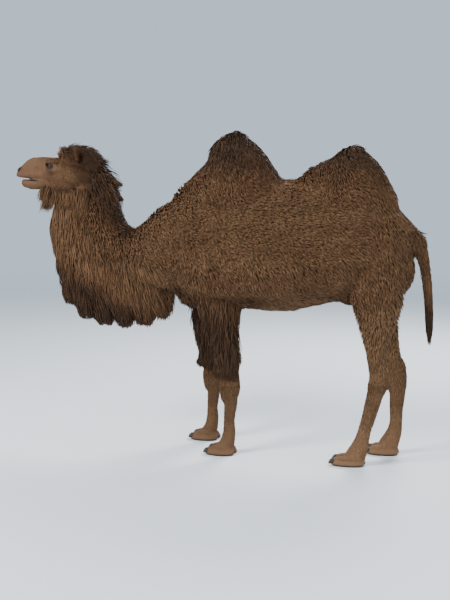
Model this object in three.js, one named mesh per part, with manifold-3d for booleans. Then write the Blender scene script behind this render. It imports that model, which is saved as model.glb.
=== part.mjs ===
// A standing two-humped (Bactrian) camel at life size, as a still museum model.
// Millimetres, +Z up. The head points to -Y and the animal's own left side is +X.
// The body is joined from lofts and rounded masses, then parted along thin cuts. Eyes, ears and nails
// are solids of their own, each seated in a socket that is cut a little larger.
import * as THREE from "three";
import { LoftGeometry } from "three/addons/geometries/LoftGeometry.js";
import { mergeVertices } from "three/addons/utils/BufferGeometryUtils.js";
import Module from "manifold-3d";

const wasm = await Module();
wasm.setup();

// ---------------------------------------------------------------- driving dimensions
const LEFT = 1;
const RIGHT = -1;
const GAP = 0.6; // between one part and the next
const TRACK = 168; // from the median plane to the middle of a foot
const EYE = { x: 85, y: -1548, z: 1900, radius: 23 };
const EAR = { x: 80, y: -1352, z: 1950, length: 112 }; // from the middle of the ear's root
const FOREFOOT = { length: 198, width: 182 };
const HINDFOOT = { length: 214, width: 164 };
const FRONT_HUMP = { y: -242, top: 2137 };
const REAR_HUMP = { y: 548, top: 2044 };
const TAIL_TIP = 790;

// Heights of the joints above the ground.
const KNEE = 455;
const FETLOCK = 140;

// ---------------------------------------------------------------- materials
const finish = (color, roughness) => new THREE.MeshStandardMaterial({ color, roughness, metalness: 0 });
const COAT = finish(0x5e3f27, 0.9);
const LONG_COAT = finish(0x3a2517, 0.9);
const FACE = finish(0x6b4a30, 0.85);
const EYEBALL = finish(0x140c08, 0.08);
const NAIL = finish(0x2b221c, 0.45);

// ---------------------------------------------------------------- helpers for solids
// A closed geometry as a solid for joining and cutting.
function solid(geometry) {
  const bare = new THREE.BufferGeometry();
  bare.setAttribute("position", geometry.getAttribute("position"));
  bare.setIndex(geometry.getIndex());
  const merged = mergeVertices(bare, 1e-3);
  return new wasm.Manifold(
    new wasm.Mesh({
      numProp: 3,
      vertProperties: new Float32Array(merged.attributes.position.array),
      triVerts: new Uint32Array(merged.index.array),
    }),
  );
}

function geometryOf(manifold) {
  const { vertProperties, triVerts } = manifold.getMesh();
  const geometry = new THREE.BufferGeometry();
  geometry.setAttribute("position", new THREE.BufferAttribute(new Float32Array(vertProperties), 3));
  geometry.setIndex(new THREE.BufferAttribute(new Uint32Array(triVerts), 1));
  geometry.computeVertexNormals();
  return geometry;
}

const join = (solids) => solids.reduce((all, one) => all.add(one));
// The main body of a cut shape, without the crumbs that a cut can leave beside it.
const largest = (shape) => shape.decompose().sort((a, b) => b.volume() - a.volume())[0];
const turned = (degrees) =>
  new THREE.Matrix4().makeRotationFromEuler(new THREE.Euler(...degrees.map(THREE.MathUtils.degToRad)));

// Value number k of the stations at u, from 0 at the first to 1 at the last, on a smooth curve.
function between(stations, k, u) {
  const last = stations.length - 1;
  const at = Math.min(u * last, last - 1e-6);
  const i = Math.floor(at);
  const t = at - i;
  const [a, b, c, d] = [i - 1, i, i + 1, i + 2].map(
    (n) => stations[Math.max(0, Math.min(last, n))][k] ?? 0,
  );
  return b + 0.5 * t * (c - a + t * (2 * a - 5 * b + 4 * c - d + t * (3 * (b - c) + d - a)));
}

const DOME = [0.42, 0.84]; // size of the rings of a rounded end

// A limb or trunk through stations [x, y, z, across, over, under, lean].
// across is the half width, over and under are the reach on the back and belly side of the middle line,
// and lean widens the back side and narrows the belly side. The ends are rounded over the lengths in ends.
function limb(grow, stations, rings, sides, ends = [0, 0]) {
  const middle = (u) => new THREE.Vector3(...[0, 1, 2].map((k) => between(stations, k, u)));
  const section = (u, scale, shift) => {
    const step = 1e-3;
    const along = middle(Math.min(1, u + step)).sub(middle(Math.max(0, u - step))).normalize();
    const side = new THREE.Vector3(1, 0, 0).addScaledVector(along, -along.x).normalize();
    const back = new THREE.Vector3().crossVectors(side, along);
    const centre = middle(u).addScaledVector(along, shift);
    const [across, over, under] = [3, 4, 5].map((k) => between(stations, k, u) + grow);
    const lean = between(stations, 6, u);
    return Array.from({ length: sides }, (_, j) => {
      const angle = (-2 * Math.PI * (j + 0.5)) / sides;
      const rise = Math.sin(angle);
      return centre
        .clone()
        .addScaledVector(side, scale * across * Math.cos(angle) * (1 + lean * rise))
        .addScaledVector(back, scale * (rise > 0 ? over : under) * rise);
    });
  };
  const dome = (u, length) => {
    const reach = (u ? 1 : -1) * (length + grow);
    return length ? DOME.map((s) => section(u, s, reach * Math.sqrt(1 - s * s))) : [];
  };
  const straight = Array.from({ length: rings + 1 }, (_, i) => section(i / rings, 1, 0));
  straight[0] = section(0, 1, -grow);
  straight[rings] = section(1, 1, grow);
  const sections = [...dome(0, ends[0]), ...straight, ...dome(1, ends[1]).reverse()];
  return solid(new LoftGeometry(sections, { capStart: true, capEnd: true }));
}

// A rounded mass: an ellipsoid of the given half sizes, tipped about the X, Y and Z axes in degrees.
function mass(grow, [x, y, z], half, degrees = [0, 0, 0], [around, down] = [8, 5]) {
  const shape = new THREE.SphereGeometry(1, around, down);
  shape.scale(...half.map((reach) => reach + grow));
  shape.applyMatrix4(turned(degrees));
  return solid(shape.translate(x, y, z));
}

function block([x0, y0, z0], [x1, y1, z1]) {
  const shape = new THREE.BoxGeometry(x1 - x0, y1 - y0, z1 - z0);
  return solid(shape.translate((x0 + x1) / 2, (y0 + y1) / 2, (z0 + z1) / 2));
}

// A prism along X between the two values in xs. Its corners [y, z] go round clockwise as seen from +X,
// and grow moves each of its sides out.
function prism(corners, [x0, x1], grow = 0) {
  const points = corners.map(([y, z]) => new THREE.Vector2(y, z));
  const outward = (from, to) => {
    const along = to.clone().sub(from).normalize();
    return new THREE.Vector2(-along.y, along.x);
  };
  const outline = points.map((point, i) => {
    const before = outward(points.at(i - 1), point);
    const after = outward(point, points[(i + 1) % points.length]);
    const reach = grow / (1 + before.dot(after));
    return before.add(after).multiplyScalar(reach).add(point);
  });
  const depth = x1 - x0 + 2 * grow;
  const band = new THREE.ExtrudeGeometry(new THREE.Shape(outline), { depth, bevelEnabled: false });
  const toSide = new THREE.Matrix4().makeBasis(
    new THREE.Vector3(0, 1, 0),
    new THREE.Vector3(0, 0, 1),
    new THREE.Vector3(1, 0, 0),
  );
  return solid(band.applyMatrix4(toSide).translate(x0 - grow, 0, 0));
}

// ---------------------------------------------------------------- trunk and humps
const trunk = (grow) => [
  limb(
    grow,
    [
      [0, -735, 1330, 125, 250, 190, -0.3],
      [0, -600, 1335, 215, 460, 300, -0.38],
      [0, -430, 1340, 285, 527, 375, -0.4],
      [0, -190, 1340, 345, 500, 388, -0.38],
      [0, 110, 1345, 378, 482, 396, -0.33],
      [0, 360, 1375, 358, 452, 356, -0.32],
      [0, 590, 1420, 300, 358, 322, -0.25],
      [0, 780, 1430, 235, 262, 265, -0.1],
      [0, 900, 1430, 150, 150, 170, 0],
    ],
    10,
    14,
    [70, 45],
  ),
  mass(grow, [0, -500, 1020], [140, 150, 90]), // the breast pad
  mass(grow, [0, 530, 1087], [205, 95, 80]), // the fold of the flank
  mass(grow, [0, 804, 1262], [188, 160, 206]), // the point of the buttocks
];

// A hump rises from inside the back. Rows [drop, shift, across, rear, front] go from the tip down.
const hump = (grow, { y, top }, rows) =>
  limb(
    grow,
    rows.map(([drop, shift, across, rear, front]) => [0, y + shift, top - drop, across, rear, front]),
    rows.length * 2 - 2,
    12,
    [32, 0],
  );

const frontHump = (grow) => [
  hump(grow, FRONT_HUMP, [
    [32, 0, 50, 70, 84],
    [100, 0, 92, 162, 162],
    [200, 0, 140, 244, 190],
    [330, 0, 196, 320, 326],
    [450, 0, 222, 340, 350],
    [560, 0, 170, 300, 300],
  ]),
];

const rearHump = (grow) => [
  hump(grow, REAR_HUMP, [
    [32, -6, 48, 76, 78],
    [85, -6, 84, 134, 134],
    [120, -6, 106, 170, 232],
    [165, -6, 130, 204, 304],
    [250, -6, 172, 247, 375],
    [380, -6, 208, 308, 390],
    [500, -6, 150, 230, 300],
  ]),
];

// ---------------------------------------------------------------- neck and beard
const neck = (grow) => [
  limb(
    grow,
    [
      [0, -1385, 1850, 96, 120, 105, 0],
      [0, -1300, 1760, 112, 200, 132, 0],
      [0, -1245, 1640, 122, 196, 160, 0],
      [0, -1180, 1490, 132, 136, 185, 0],
      [0, -1055, 1345, 150, 164, 205, 0],
      [0, -880, 1290, 178, 262, 240, -0.15],
      [0, -690, 1320, 212, 336, 280, -0.3],
      [0, -540, 1340, 225, 400, 290, -0.35],
    ],
    11,
    12,
  ),
];

// A hanging lock of long hair that ends in a round tip at [y, z].
const lock = (grow, [x, y, z], { length, across, deep }, sweep) =>
  limb(
    grow,
    [
      [x * 0.6, y - sweep, z + length, across * 0.9, deep * 1.1, deep * 1.1],
      [x, y - sweep * 0.3, z + length * 0.45, across, deep * 1.15, deep * 1.15],
      [x, y, z + 24, across * 0.66, deep * 0.86, deep * 0.86],
    ],
    2,
    6,
    [0, 24],
  );

// Long hair hangs from the throat and the whole underside of the neck. The locks' tips follow one curve.
function beard(grow) {
  const LOCKS = 10;
  const hem = new THREE.CatmullRomCurve3(
    [
      [-1601, 1500],
      [-1560, 1330],
      [-1512, 1150],
      [-1465, 940],
      [-1345, 832],
      [-1180, 788],
      [-990, 788],
      [-870, 804],
      [-766, 852],
    ].map(([y, z]) => new THREE.Vector3(0, y, z)),
  );
  const locks = Array.from({ length: LOCKS }, (_, i) => {
    const u = i / (LOCKS - 1);
    const { y, z } = hem.getPointAt(u);
    const size = { length: 210 + 60 * u, across: 66 + 40 * Math.sin(Math.PI * u), deep: 78 + 8 * u };
    return lock(grow, [0, y + 30 * (1 - u), z], size, 14 - 30 * u);
  });
  const curtain = limb(
    grow,
    [
      [0, -1520, 1704, 66, 112, 96, 0],
      [0, -1440, 1510, 90, 160, 128, 0],
      [0, -1375, 1290, 112, 190, 150, 0],
      [0, -1240, 1095, 126, 170, 196, 0],
      [0, -1010, 1060, 132, 140, 190, 0],
      [0, -780, 1120, 116, 130, 190, 0],
    ],
    7,
    10,
    [50, 50],
  );
  const throat = lock(grow, [0, -1632, 1640], { length: 100, across: 52, deep: 38 }, 8);
  return [curtain, throat, ...locks];
}

// ---------------------------------------------------------------- head
function head(grow) {
  const skull = limb(
    grow,
    [
      [0, -1842, 1844, 46, 12, 22, 0],
      [0, -1806, 1854, 60, 44, 42, 0.02],
      [0, -1730, 1872, 62, 95, 62, -0.12],
      [0, -1650, 1872, 64, 97, 76, -0.2],
      [0, -1560, 1866, 88, 96, 104, 0.02],
      [0, -1470, 1864, 104, 116, 132, 0.08],
      [0, -1370, 1862, 98, 118, 134, 0.05],
      [0, -1290, 1864, 74, 84, 96, 0],
    ],
    11,
    12,
    [16, 26],
  );
  const pairs = [LEFT, RIGHT].flatMap((side) => [
    mass(grow, [side * 76, EYE.y + 2, EYE.z + 20], [30, 54, 30], [0, 0, side * -8]), // brow
    mass(grow, [side * 62, -1462, 1800], [38, 92, 68]), // cheek
  ]);
  const tuft = [
    mass(grow, [0, -1412, 1970], [86, 112, 94], [0, 0, 0], [10, 6]),
    mass(grow, [0, -1305, 1945], [90, 116, 98], [-26, 0, 0], [10, 6]),
    mass(grow, [0, -1214, 1832], [88, 104, 134], [-24, 0, 0], [10, 6]), // mane on the nape
  ];
  // the points of the mane that stand off the nape
  const points = [
    lock(grow, [-34, -1102, 1750], { length: 126, across: 50, deep: 40 }, 72),
    lock(grow, [-30, -1110, 1656], { length: 90, across: 44, deep: 30 }, 36),
  ];
  return [skull, ...pairs, ...tuft, ...points];
}

const jaw = (grow) => [
  limb(
    grow,
    [
      [0, -1800, 1772, 40, 20, 28, 0],
      [0, -1745, 1774, 52, 30, 46, 0],
      [0, -1660, 1788, 55, 40, 71, 0],
      [0, -1560, 1800, 66, 60, 99, 0],
      [0, -1450, 1812, 76, 60, 114, 0],
      [0, -1390, 1820, 64, 50, 88, 0],
    ],
    7,
    10,
    [20, 20],
  ),
];

// The lips stand a little apart at the front: a flat wedge that ends at the corner of the mouth.
const mouth = () => prism([[-1664, 1805], [-1900, 1812], [-1900, 1801]], [-200, 200]);

// An ear that stands up, back and outwards. It is shaped upright at the origin, then turned.
function ear(grow, side) {
  const shell = limb(
    grow,
    [
      [0, 0, -24, 20, 14, 14, 0],
      [0, 0, 24, 28, 14, 17, 0],
      [0, 0, 60, 29, 11, 14, 0],
      [0, 0, EAR.length - 12, 14, 7, 8, 0],
    ],
    5,
    8,
    [0, 12],
  );
  const shape = geometryOf(shell).applyMatrix4(turned([-20, side * 40, side * 30]));
  return [solid(shape.translate(side * EAR.x, EAR.y, EAR.z))];
}

const eye = (grow, side) => [
  mass(grow, [side * EYE.x, EYE.y, EYE.z], Array(3).fill(EYE.radius), [0, 90, 0], [9, 6]),
];

// ---------------------------------------------------------------- legs
// y of the foot's middle and of the joints above it. height is the hock's above the ground.
const STANCES = {
  front_left: { side: LEFT, pad: FOREFOOT, foot: -278, fetlock: -224, knee: -220, elbow: -256 },
  front_right: { side: RIGHT, pad: FOREFOOT, foot: -506, fetlock: -456, knee: -454, elbow: -410 },
  hind_left: { side: LEFT, pad: HINDFOOT, foot: 580, fetlock: 664, hock: 770, height: 555, stifle: 730 },
  hind_right: { side: RIGHT, pad: HINDFOOT, foot: 746, fetlock: 818, hock: 832, height: 490, stifle: 684 },
};

// Stations run down the leg, so over is its rear and under its front.
function foreleg(grow, { side, fetlock, knee, elbow }) {
  const x = side * TRACK;
  const column = limb(
    grow,
    [
      [side * 172, elbow - 30, 1060, 88, 140, 190],
      [side * 168, elbow + 4, 880, 72, 100, 125],
      [x, knee - 10, 700, 58, 76, 80],
      [x, knee, 560, 50, 60, 62],
      [x, knee, KNEE, 52, 58, 65],
      [x, knee + 6, 370, 38, 52, 51],
      [x, fetlock, 230, 33, 39, 43],
      [x, fetlock - 2, FETLOCK, 46, 50, 46],
      [x, fetlock - 20, 76, 56, 60, 48],
      [x, fetlock - 40, 34, 78, 76, 66],
    ],
    12,
    8,
    [60, 0],
  );
  const shoulder = mass(grow, [side * 188, elbow - 130, 1235], [98, 190, 300], [12, 0, 0]);
  return [column, shoulder, breeches(grow, { side, knee, elbow })];
}

// The long hair on the upper foreleg ends in a flared hem that is lower in front than behind.
function breeches(grow, { side, knee, elbow }) {
  const x = side * (TRACK + 4);
  return limb(
    grow,
    [
      [side * 176, elbow - 40, 1100, 88, 110, 190],
      [side * 174, (elbow + knee) / 2 - 4, 950, 88, 108, 208],
      [x, knee - 24, 815, 86, 104, 168],
      [x, knee - 16, 690, 82, 106, 118],
      [x, knee - 8, 604, 82, 112, 110],
      [x, knee - 6, 576, 76, 66, 118],
      [x, knee - 4, 534, 68, 50, 114],
    ],
    6,
    8,
    [50, 12],
  );
}

function hindleg(grow, { side, fetlock, hock, height, stifle }) {
  const x = side * TRACK;
  const column = limb(
    grow,
    [
      [side * 174, stifle, 1110, 104, 206, 190],
      [side * 176, stifle + 12, 980, 90, 164, 142],
      [side * 172, stifle + (hock - stifle) * 0.4, 850, 72, 100, 98],
      [x, stifle + (hock - stifle) * 0.72, 725, 56, 49, 79],
      [x, hock - 4, height + 72, 46, 50, 73],
      [x, hock - 2, height, 46, 60, 65],
      [x, hock + (fetlock - hock) * 0.3, height - 90, 42, 59, 48],
      [x, hock + (fetlock - hock) * 0.72, 290, 35, 53, 41],
      [x, fetlock + 10, 205, 36, 48, 48],
      [x, fetlock, FETLOCK, 44, 54, 63],
      [x, fetlock - 24, 76, 54, 62, 76],
      [x, fetlock - 46, 34, 74, 78, 78],
    ],
    13,
    8,
    [60, 0],
  );
  const thigh = mass(grow, [side * 172, stifle, 1215], [118, 195, 275], [-5, 0, 0]);
  return [column, thigh];
}

// Two broad toes that point forwards and a little apart.
function foot(grow, { side, foot: y, pad: { length, width } }) {
  const x = side * TRACK;
  return [-1, 1].map((toe) =>
    mass(grow, [x + (toe * width) / 4.3, y, 23], [width / 3.6, length / 2, 43], [0, 0, toe * 6], [9, 6]),
  );
}

// toe is -1 for the toe on the right of the foot and 1 for the one on its left.
function nail(grow, { side, foot: y, pad: { length, width } }, toe) {
  const at = [side * TRACK + toe * (width / 4.4 + length * 0.055), y - length * 0.46, 28];
  return [mass(grow, at, [width / 6.6, 24, 18], [16, 0, toe * 7], [6, 4])];
}

// ---------------------------------------------------------------- tail
const tail = (grow) => [
  limb(
    grow,
    [
      [0, 850, 1500, 70, 60, 70, 0],
      [0, 937, 1472, 56, 66, 62, 0],
      [0, 996, 1372, 42, 42, 54, 0],
      [0, 1026, 1240, 31, 33, 36, 0],
      [0, 1041, 1100, 25, 25, 29, 0],
      [0, 1051, 960, 25, 22, 24, 0],
      [0, 1054, 850, 17, 16, 18, 0],
      [0, 1054, TAIL_TIP, 7, 7, 7, 0],
    ],
    10,
    8,
    [0, 16],
  ),
];

// ---------------------------------------------------------------- the whole body, then its parts
const legs = Object.values(STANCES).flatMap((stance) => [
  ...(stance.pad === FOREFOOT ? foreleg(0, stance) : hindleg(0, stance)),
  ...foot(0, stance),
]);

const camel = new THREE.Group();
camel.name = "bactrian_camel";
function add(name, shape, material) {
  const mesh = new THREE.Mesh(geometryOf(shape), material);
  mesh.name = name;
  camel.add(mesh);
}

const ground = block([-2000, -4000, -500], [2000, 4000, 0]);
let rest = join([
  ...trunk(0),
  ...frontHump(0),
  ...rearHump(0),
  ...neck(0),
  ...beard(0),
  ...head(0),
  ...jaw(0),
  ...tail(0),
  ...legs,
]).subtract(ground.add(mouth()));

for (const [side, name] of [
  [LEFT, "left"],
  [RIGHT, "right"],
]) {
  add("eye_" + name, join(eye(0, side)), EYEBALL);
  add("ear_" + name, join(ear(0, side)), FACE);
  rest = rest.subtract(join([...eye(GAP, side), ...ear(GAP, side)]));
}

for (const [name, stance] of Object.entries(STANCES)) {
  const socket = join(foot(GAP, stance)).add(ground);
  for (const [toe, place] of [
    [-stance.side, "inner"],
    [stance.side, "outer"],
  ]) {
    add("nail_" + name + "_" + place, largest(join(nail(0, stance, toe)).subtract(socket)), NAIL);
  }
}

// Each part takes what is left inside its prism: [corners, the two x]. The trunk is what then remains.
const WIDE = [-900, 900];
const HALVES = { left: [24, 900], right: [-900, -24] };
const JAW = [[-1900, 1660], [-1900, 1804], [-1664, 1804], [-1520, 1748], [-1425, 1700], [-1560, 1660]];
const HEAD = [[-1900, 1650], [-1900, 2200], [-1000, 2200], [-1080, 1850], [-1240, 1790], [-1400, 1690]];
const BEARD = [[-1900, 700], [-1900, 1800], [-1330, 1560], [-1200, 1270], [-665, 1080], [-665, 700]];
const TAIL = [[948, 600], [948, 1800], [1200, 1800], [1200, 600]];
const FORELEG = [[-720, -50], [-720, 1080], [-560, 1140], [-330, 1150], [-80, 1060], [60, -50]];
const HINDLEG = [[300, -50], [450, 940], [540, 1120], [700, 1260], [940, 1160], [947, -50]];
const FRONT_HUMP_TOP = [[-700, 1860], [-700, 2300], [150, 2300], [150, 1860]];
const REAR_HUMP_TOP = [[151, 1850], [151, 2300], [1000, 2300], [1000, 1775], [700, 1760], [300, 1780]];
const NECK = [[-1600, 1000], [-1600, 2200], [-900, 2200], [-760, 1500], [-640, 1200], [-640, 1000]];
const REGIONS = [
  ["jaw", JAW, WIDE, FACE],
  ["head", HEAD, WIDE, FACE],
  ["beard", BEARD, WIDE, LONG_COAT],
  ["tail", TAIL, WIDE, COAT],
  ...Object.entries(HALVES).map(([side, xs]) => ["leg_front_" + side, FORELEG, xs, COAT]),
  ...Object.entries(HALVES).map(([side, xs]) => ["leg_hind_" + side, HINDLEG, xs, COAT]),
  ["hump_front", FRONT_HUMP_TOP, WIDE, COAT],
  ["hump_rear", REAR_HUMP_TOP, WIDE, COAT],
  ["neck", NECK, WIDE, COAT],
];
for (const [name, corners, xs, material] of REGIONS) {
  add(name, largest(rest.intersect(prism(corners, xs))), material);
  rest = rest.subtract(prism(corners, xs, GAP));
}
add("trunk", largest(rest), COAT);

// The origin is on the ground, under the middle of the whole animal's box.
const box = new THREE.Box3().setFromObject(camel);
const origin = box.getCenter(new THREE.Vector3()).setZ(box.min.z);
camel.children.forEach((mesh) => mesh.position.sub(origin));

export default camel;
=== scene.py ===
"""A standing Bactrian camel at life size: one skin, the long and short coat over it, eyes, nails."""
import math

import bpy
import numpy as np
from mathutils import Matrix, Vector
from mathutils.bvhtree import BVHTree


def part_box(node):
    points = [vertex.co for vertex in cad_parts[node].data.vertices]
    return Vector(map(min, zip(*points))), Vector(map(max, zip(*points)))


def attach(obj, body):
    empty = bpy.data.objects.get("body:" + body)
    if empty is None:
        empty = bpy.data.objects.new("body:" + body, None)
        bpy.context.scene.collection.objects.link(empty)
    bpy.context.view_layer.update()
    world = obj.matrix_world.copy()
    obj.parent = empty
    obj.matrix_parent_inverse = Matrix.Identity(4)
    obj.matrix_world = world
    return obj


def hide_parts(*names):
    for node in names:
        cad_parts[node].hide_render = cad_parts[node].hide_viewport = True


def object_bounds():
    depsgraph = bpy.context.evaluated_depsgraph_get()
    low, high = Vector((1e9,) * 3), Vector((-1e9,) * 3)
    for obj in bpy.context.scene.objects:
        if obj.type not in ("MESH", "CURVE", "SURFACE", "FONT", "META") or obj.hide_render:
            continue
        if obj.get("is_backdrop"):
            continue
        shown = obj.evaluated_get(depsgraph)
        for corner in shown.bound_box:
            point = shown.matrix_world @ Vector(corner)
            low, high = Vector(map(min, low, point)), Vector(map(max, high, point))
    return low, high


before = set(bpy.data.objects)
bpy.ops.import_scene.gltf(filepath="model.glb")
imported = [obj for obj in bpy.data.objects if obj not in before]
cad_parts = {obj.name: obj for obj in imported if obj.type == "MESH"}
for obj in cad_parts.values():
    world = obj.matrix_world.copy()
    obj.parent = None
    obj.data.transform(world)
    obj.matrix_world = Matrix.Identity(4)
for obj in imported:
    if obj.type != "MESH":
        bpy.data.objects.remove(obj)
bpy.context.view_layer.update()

RNG = np.random.default_rng(7)
F32 = np.float32
TURN = 6.28  # one turn, near enough for a random phase
SIDES = {"left": 1.0, "right": -1.0}
LEGS = ["leg_front_left", "leg_front_right", "leg_hind_left", "leg_hind_right"]
FLESH = ["trunk", "hump_front", "hump_rear", "neck", "head", "jaw", "ear_left", "ear_right", "tail", *LEGS]
EYES = ["eye_left", "eye_right"]


# ------------------------------------------------------------------ numbers
def smooth(a, b, x):
    t = np.clip((x - a) / (b - a), 0, 1)
    return t * t * (3 - 2 * t)


def smin(a, b, k):
    h = np.clip(0.5 + 0.5 * (b - a) / k, 0, 1)
    return b + (a - b) * h - k * h * (1 - h)


def smax(a, b, k):
    return -smin(-a, -b, k)


def unit(v):
    return v / np.maximum(np.linalg.norm(v, axis=-1, keepdims=True), 1e-9)


def profile(x, knots, values, soft=0.016):
    """The values between the knots, with the corners rounded."""
    fine = np.arange(knots[0] - 0.1, knots[-1] + 0.1, 0.001)
    straight = np.interp(fine, knots, values)
    kernel = np.hanning(int(soft * 2000) + 3)
    curve = np.convolve(np.pad(straight, len(kernel) // 2, mode="edge"), kernel / kernel.sum(), mode="valid")
    return np.interp(x, fine, curve[: len(fine)])


# ------------------------------------------------------------------ the frame's solids as fields
def vertices_of(names):
    parts = []
    for name in names:
        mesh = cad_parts[name].data
        co = np.empty(len(mesh.vertices) * 3, F32)
        mesh.vertices.foreach_get("co", co)
        parts.append(co.reshape(-1, 3))
    return np.concatenate(parts)


def solid_of(names, voxel):
    """The joined nodes as one outer surface: its search tree and its vertices."""
    corners, faces, base = [], [], 0
    for name in names:
        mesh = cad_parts[name].data
        co = vertices_of([name])
        mesh.calc_loop_triangles()
        tri = np.empty(len(mesh.loop_triangles) * 3, np.int32)
        mesh.loop_triangles.foreach_get("vertices", tri)
        corners.append(co)
        faces.append(tri.reshape(-1, 3) + base)
        base += len(co)
    made = bpy.data.meshes.new("joined")
    made.from_pydata(np.concatenate(corners).tolist(), [], np.concatenate(faces).tolist())
    thing = bpy.data.objects.new("joined", made)
    bpy.context.scene.collection.objects.link(thing)
    remesh = thing.modifiers.new("remesh", "REMESH")
    remesh.mode = "VOXEL"
    remesh.voxel_size = voxel
    graph = bpy.context.evaluated_depsgraph_get()
    outer = bpy.data.meshes.new_from_object(thing.evaluated_get(graph))
    co = np.empty(len(outer.vertices) * 3, F32)
    outer.vertices.foreach_get("co", co)
    tree = BVHTree.FromObject(thing, graph)
    bpy.data.objects.remove(thing)
    bpy.data.meshes.remove(made)
    bpy.data.meshes.remove(outer)
    return tree, co.reshape(-1, 3)


def spread(mask, cells):
    for _ in range(cells):
        wider = mask.copy()
        for axis in range(3):
            a, b = [slice(None)] * 3, [slice(None)] * 3
            a[axis], b[axis] = slice(1, None), slice(None, -1)
            wider[tuple(a)] |= mask[tuple(b)]
            wider[tuple(b)] |= mask[tuple(a)]
        mask = wider
    return mask


def distances(tree, points, low, shape, step, inner, outer):
    """Signed distance from the surface on an even grid, exact within inner and outer of it."""
    inside = np.zeros(shape, bool)
    top = low[2] + shape[2] * step
    for i in range(shape[0]):
        for j in range(shape[1]):
            x, y, z, hits = low[0] + i * step + 1e-4, low[1] + j * step + 2e-4, low[2], []
            while True:
                hit = tree.ray_cast((x, y, z), (0, 0, 1), top - z)[0]
                if hit is None:
                    break
                hits.append(hit.z)
                z = hit.z + 1e-4
            for a, b in zip(hits[::2], hits[1::2]):
                inside[i, j, math.ceil((a - low[2]) / step): math.ceil((b - low[2]) / step)] = True
    close = np.zeros(shape, bool)
    at = np.clip(np.round((points - low) / step).astype(int), 0, np.array(shape) - 1)
    close[tuple(at.T)] = True
    wanted = spread(close, int(outer / step) + 1) & ~inside
    wanted |= spread(close, int(inner / step) + 1) & inside
    values = np.where(inside, -inner, outer).astype(F32)
    index = np.argwhere(wanted)
    far = max(inner, outer) + 2 * step
    find = tree.find_nearest
    found = [find(p, far)[3] for p in (index * step + low).tolist()]
    reach = np.array([far if d is None else d for d in found], F32)
    sign = np.where(inside[wanted], -1, 1)
    values[wanted] = np.clip(sign * reach, -inner, outer)
    return values


def blurred(v, cells):
    r = int(3 * cells + 0.5)
    weights = np.exp(-0.5 * (np.arange(-r, r + 1) / cells) ** 2)
    weights = (weights / weights.sum()).astype(F32)
    for axis in range(3):
        pad = [(0, 0)] * 3
        pad[axis] = (r, r)
        wide, n = np.pad(v, pad, mode="edge"), v.shape[axis]
        cut = [slice(None)] * 3
        v = np.zeros_like(v)
        for k, w in enumerate(weights):
            cut[axis] = slice(k, k + n)
            v += w * wide[tuple(cut)]
    return v


def resampled(v, low, step, lines):
    """The even grid's values at the crossings of other lines, on smooth curves."""
    for axis in (2, 1, 0):
        at = (lines[axis] - low[axis]) / step
        i = np.floor(at).astype(int)
        t = (at - i).astype(F32)
        taps = [
            -0.5 * t + t**2 - 0.5 * t**3,
            1 - 2.5 * t**2 + 1.5 * t**3,
            0.5 * t + 2 * t**2 - 1.5 * t**3,
            -0.5 * t**2 + 0.5 * t**3,
        ]
        shape = [1, 1, 1]
        shape[axis] = -1
        last = v.shape[axis] - 1
        v = sum(w.reshape(shape) * v.take(np.clip(i + k - 1, 0, last), axis) for k, w in enumerate(taps))
    return v


class Field:
    """Values on an even grid, read between its points."""

    def __init__(self, low, step, values):
        self.low, self.step, self.values = np.array(low), step, values
        self.slopes = None

    def __call__(self, p):
        return self.read(self.values, p)

    def read(self, grid, p):
        at = (p - self.low) / self.step
        at = np.clip(at, 0, np.array(grid.shape[:3]) - 1.001)
        i = at.astype(int)
        t = at - i
        out = 0
        for dx in (0, 1):
            for dy in (0, 1):
                for dz in (0, 1):
                    w = (t[..., 0] if dx else 1 - t[..., 0]) * (t[..., 1] if dy else 1 - t[..., 1])
                    w = w * (t[..., 2] if dz else 1 - t[..., 2])
                    value = grid[i[..., 0] + dx, i[..., 1] + dy, i[..., 2] + dz]
                    out = out + (w[..., None] * value if grid.ndim == 4 else w * value)
        return out

    def out(self, p):
        """The direction away from the surface."""
        if self.slopes is None:
            self.slopes = np.stack(np.gradient(self.values, self.step), -1).astype(F32)
        return unit(self.read(self.slopes, p))


# ------------------------------------------------------------------ where things are
STEP = 0.012
low, high = (np.array(v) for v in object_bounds())
HEAD_LOW, HEAD_HIGH = (np.array(v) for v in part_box("head"))
EYE_LOW, EYE_HIGH = (np.array(v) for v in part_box("eye_left"))
EYE = (EYE_LOW + EYE_HIGH) / 2
EYE_R = (EYE_HIGH[1] - EYE_LOW[1]) / 2
EAR_LOW, EAR_HIGH = (np.array(v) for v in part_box("ear_left"))
NOSE = HEAD_LOW[1]
TAIL_LOW = np.array(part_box("tail")[0])
HUMP_TOPS = [float(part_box(n)[1][2]) for n in ("hump_front", "hump_rear")]


def foot_of(leg):
    v = vertices_of([leg])
    v = v[v[:, 2] < 0.05]
    a, b = v.min(0), v.max(0)
    return (a + b) / 2, (b - a)


def band(leg, z, reach=0.035):
    """The middle and size of a leg's cross section at a height."""
    v = vertices_of([leg])
    v = v[np.abs(v[:, 2] - z) < reach]
    a, b = v.min(0), v.max(0)
    return (a + b) / 2, b - a


def tree_of(*names):
    """The search tree of some nodes, as the frame holds them."""
    corners, faces = [], []
    for name in names:
        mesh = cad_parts[name].data
        mesh.calc_loop_triangles()
        base = len(corners)
        corners += vertices_of([name]).tolist()
        faces += [[base + v for v in triangle.vertices] for triangle in mesh.loop_triangles]
    return BVHTree.FromPolygons(corners, faces)


def meet(tree, start, way):
    """Where a ray from start first meets the solids, or None."""
    return tree.ray_cast(Vector(start), Vector(way))[0]


def edge(tree, z, way, start=3):
    """The solids' rearmost point at a height, no farther back than start, or with way -1 their foremost."""
    hits = [meet(tree, (x, start * way, z), (0, -way, 0)) for x in np.linspace(-0.06, 0.06, 13)]
    return np.array(max((hit for hit in hits if hit), key=lambda hit: way * hit[1]))


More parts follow.
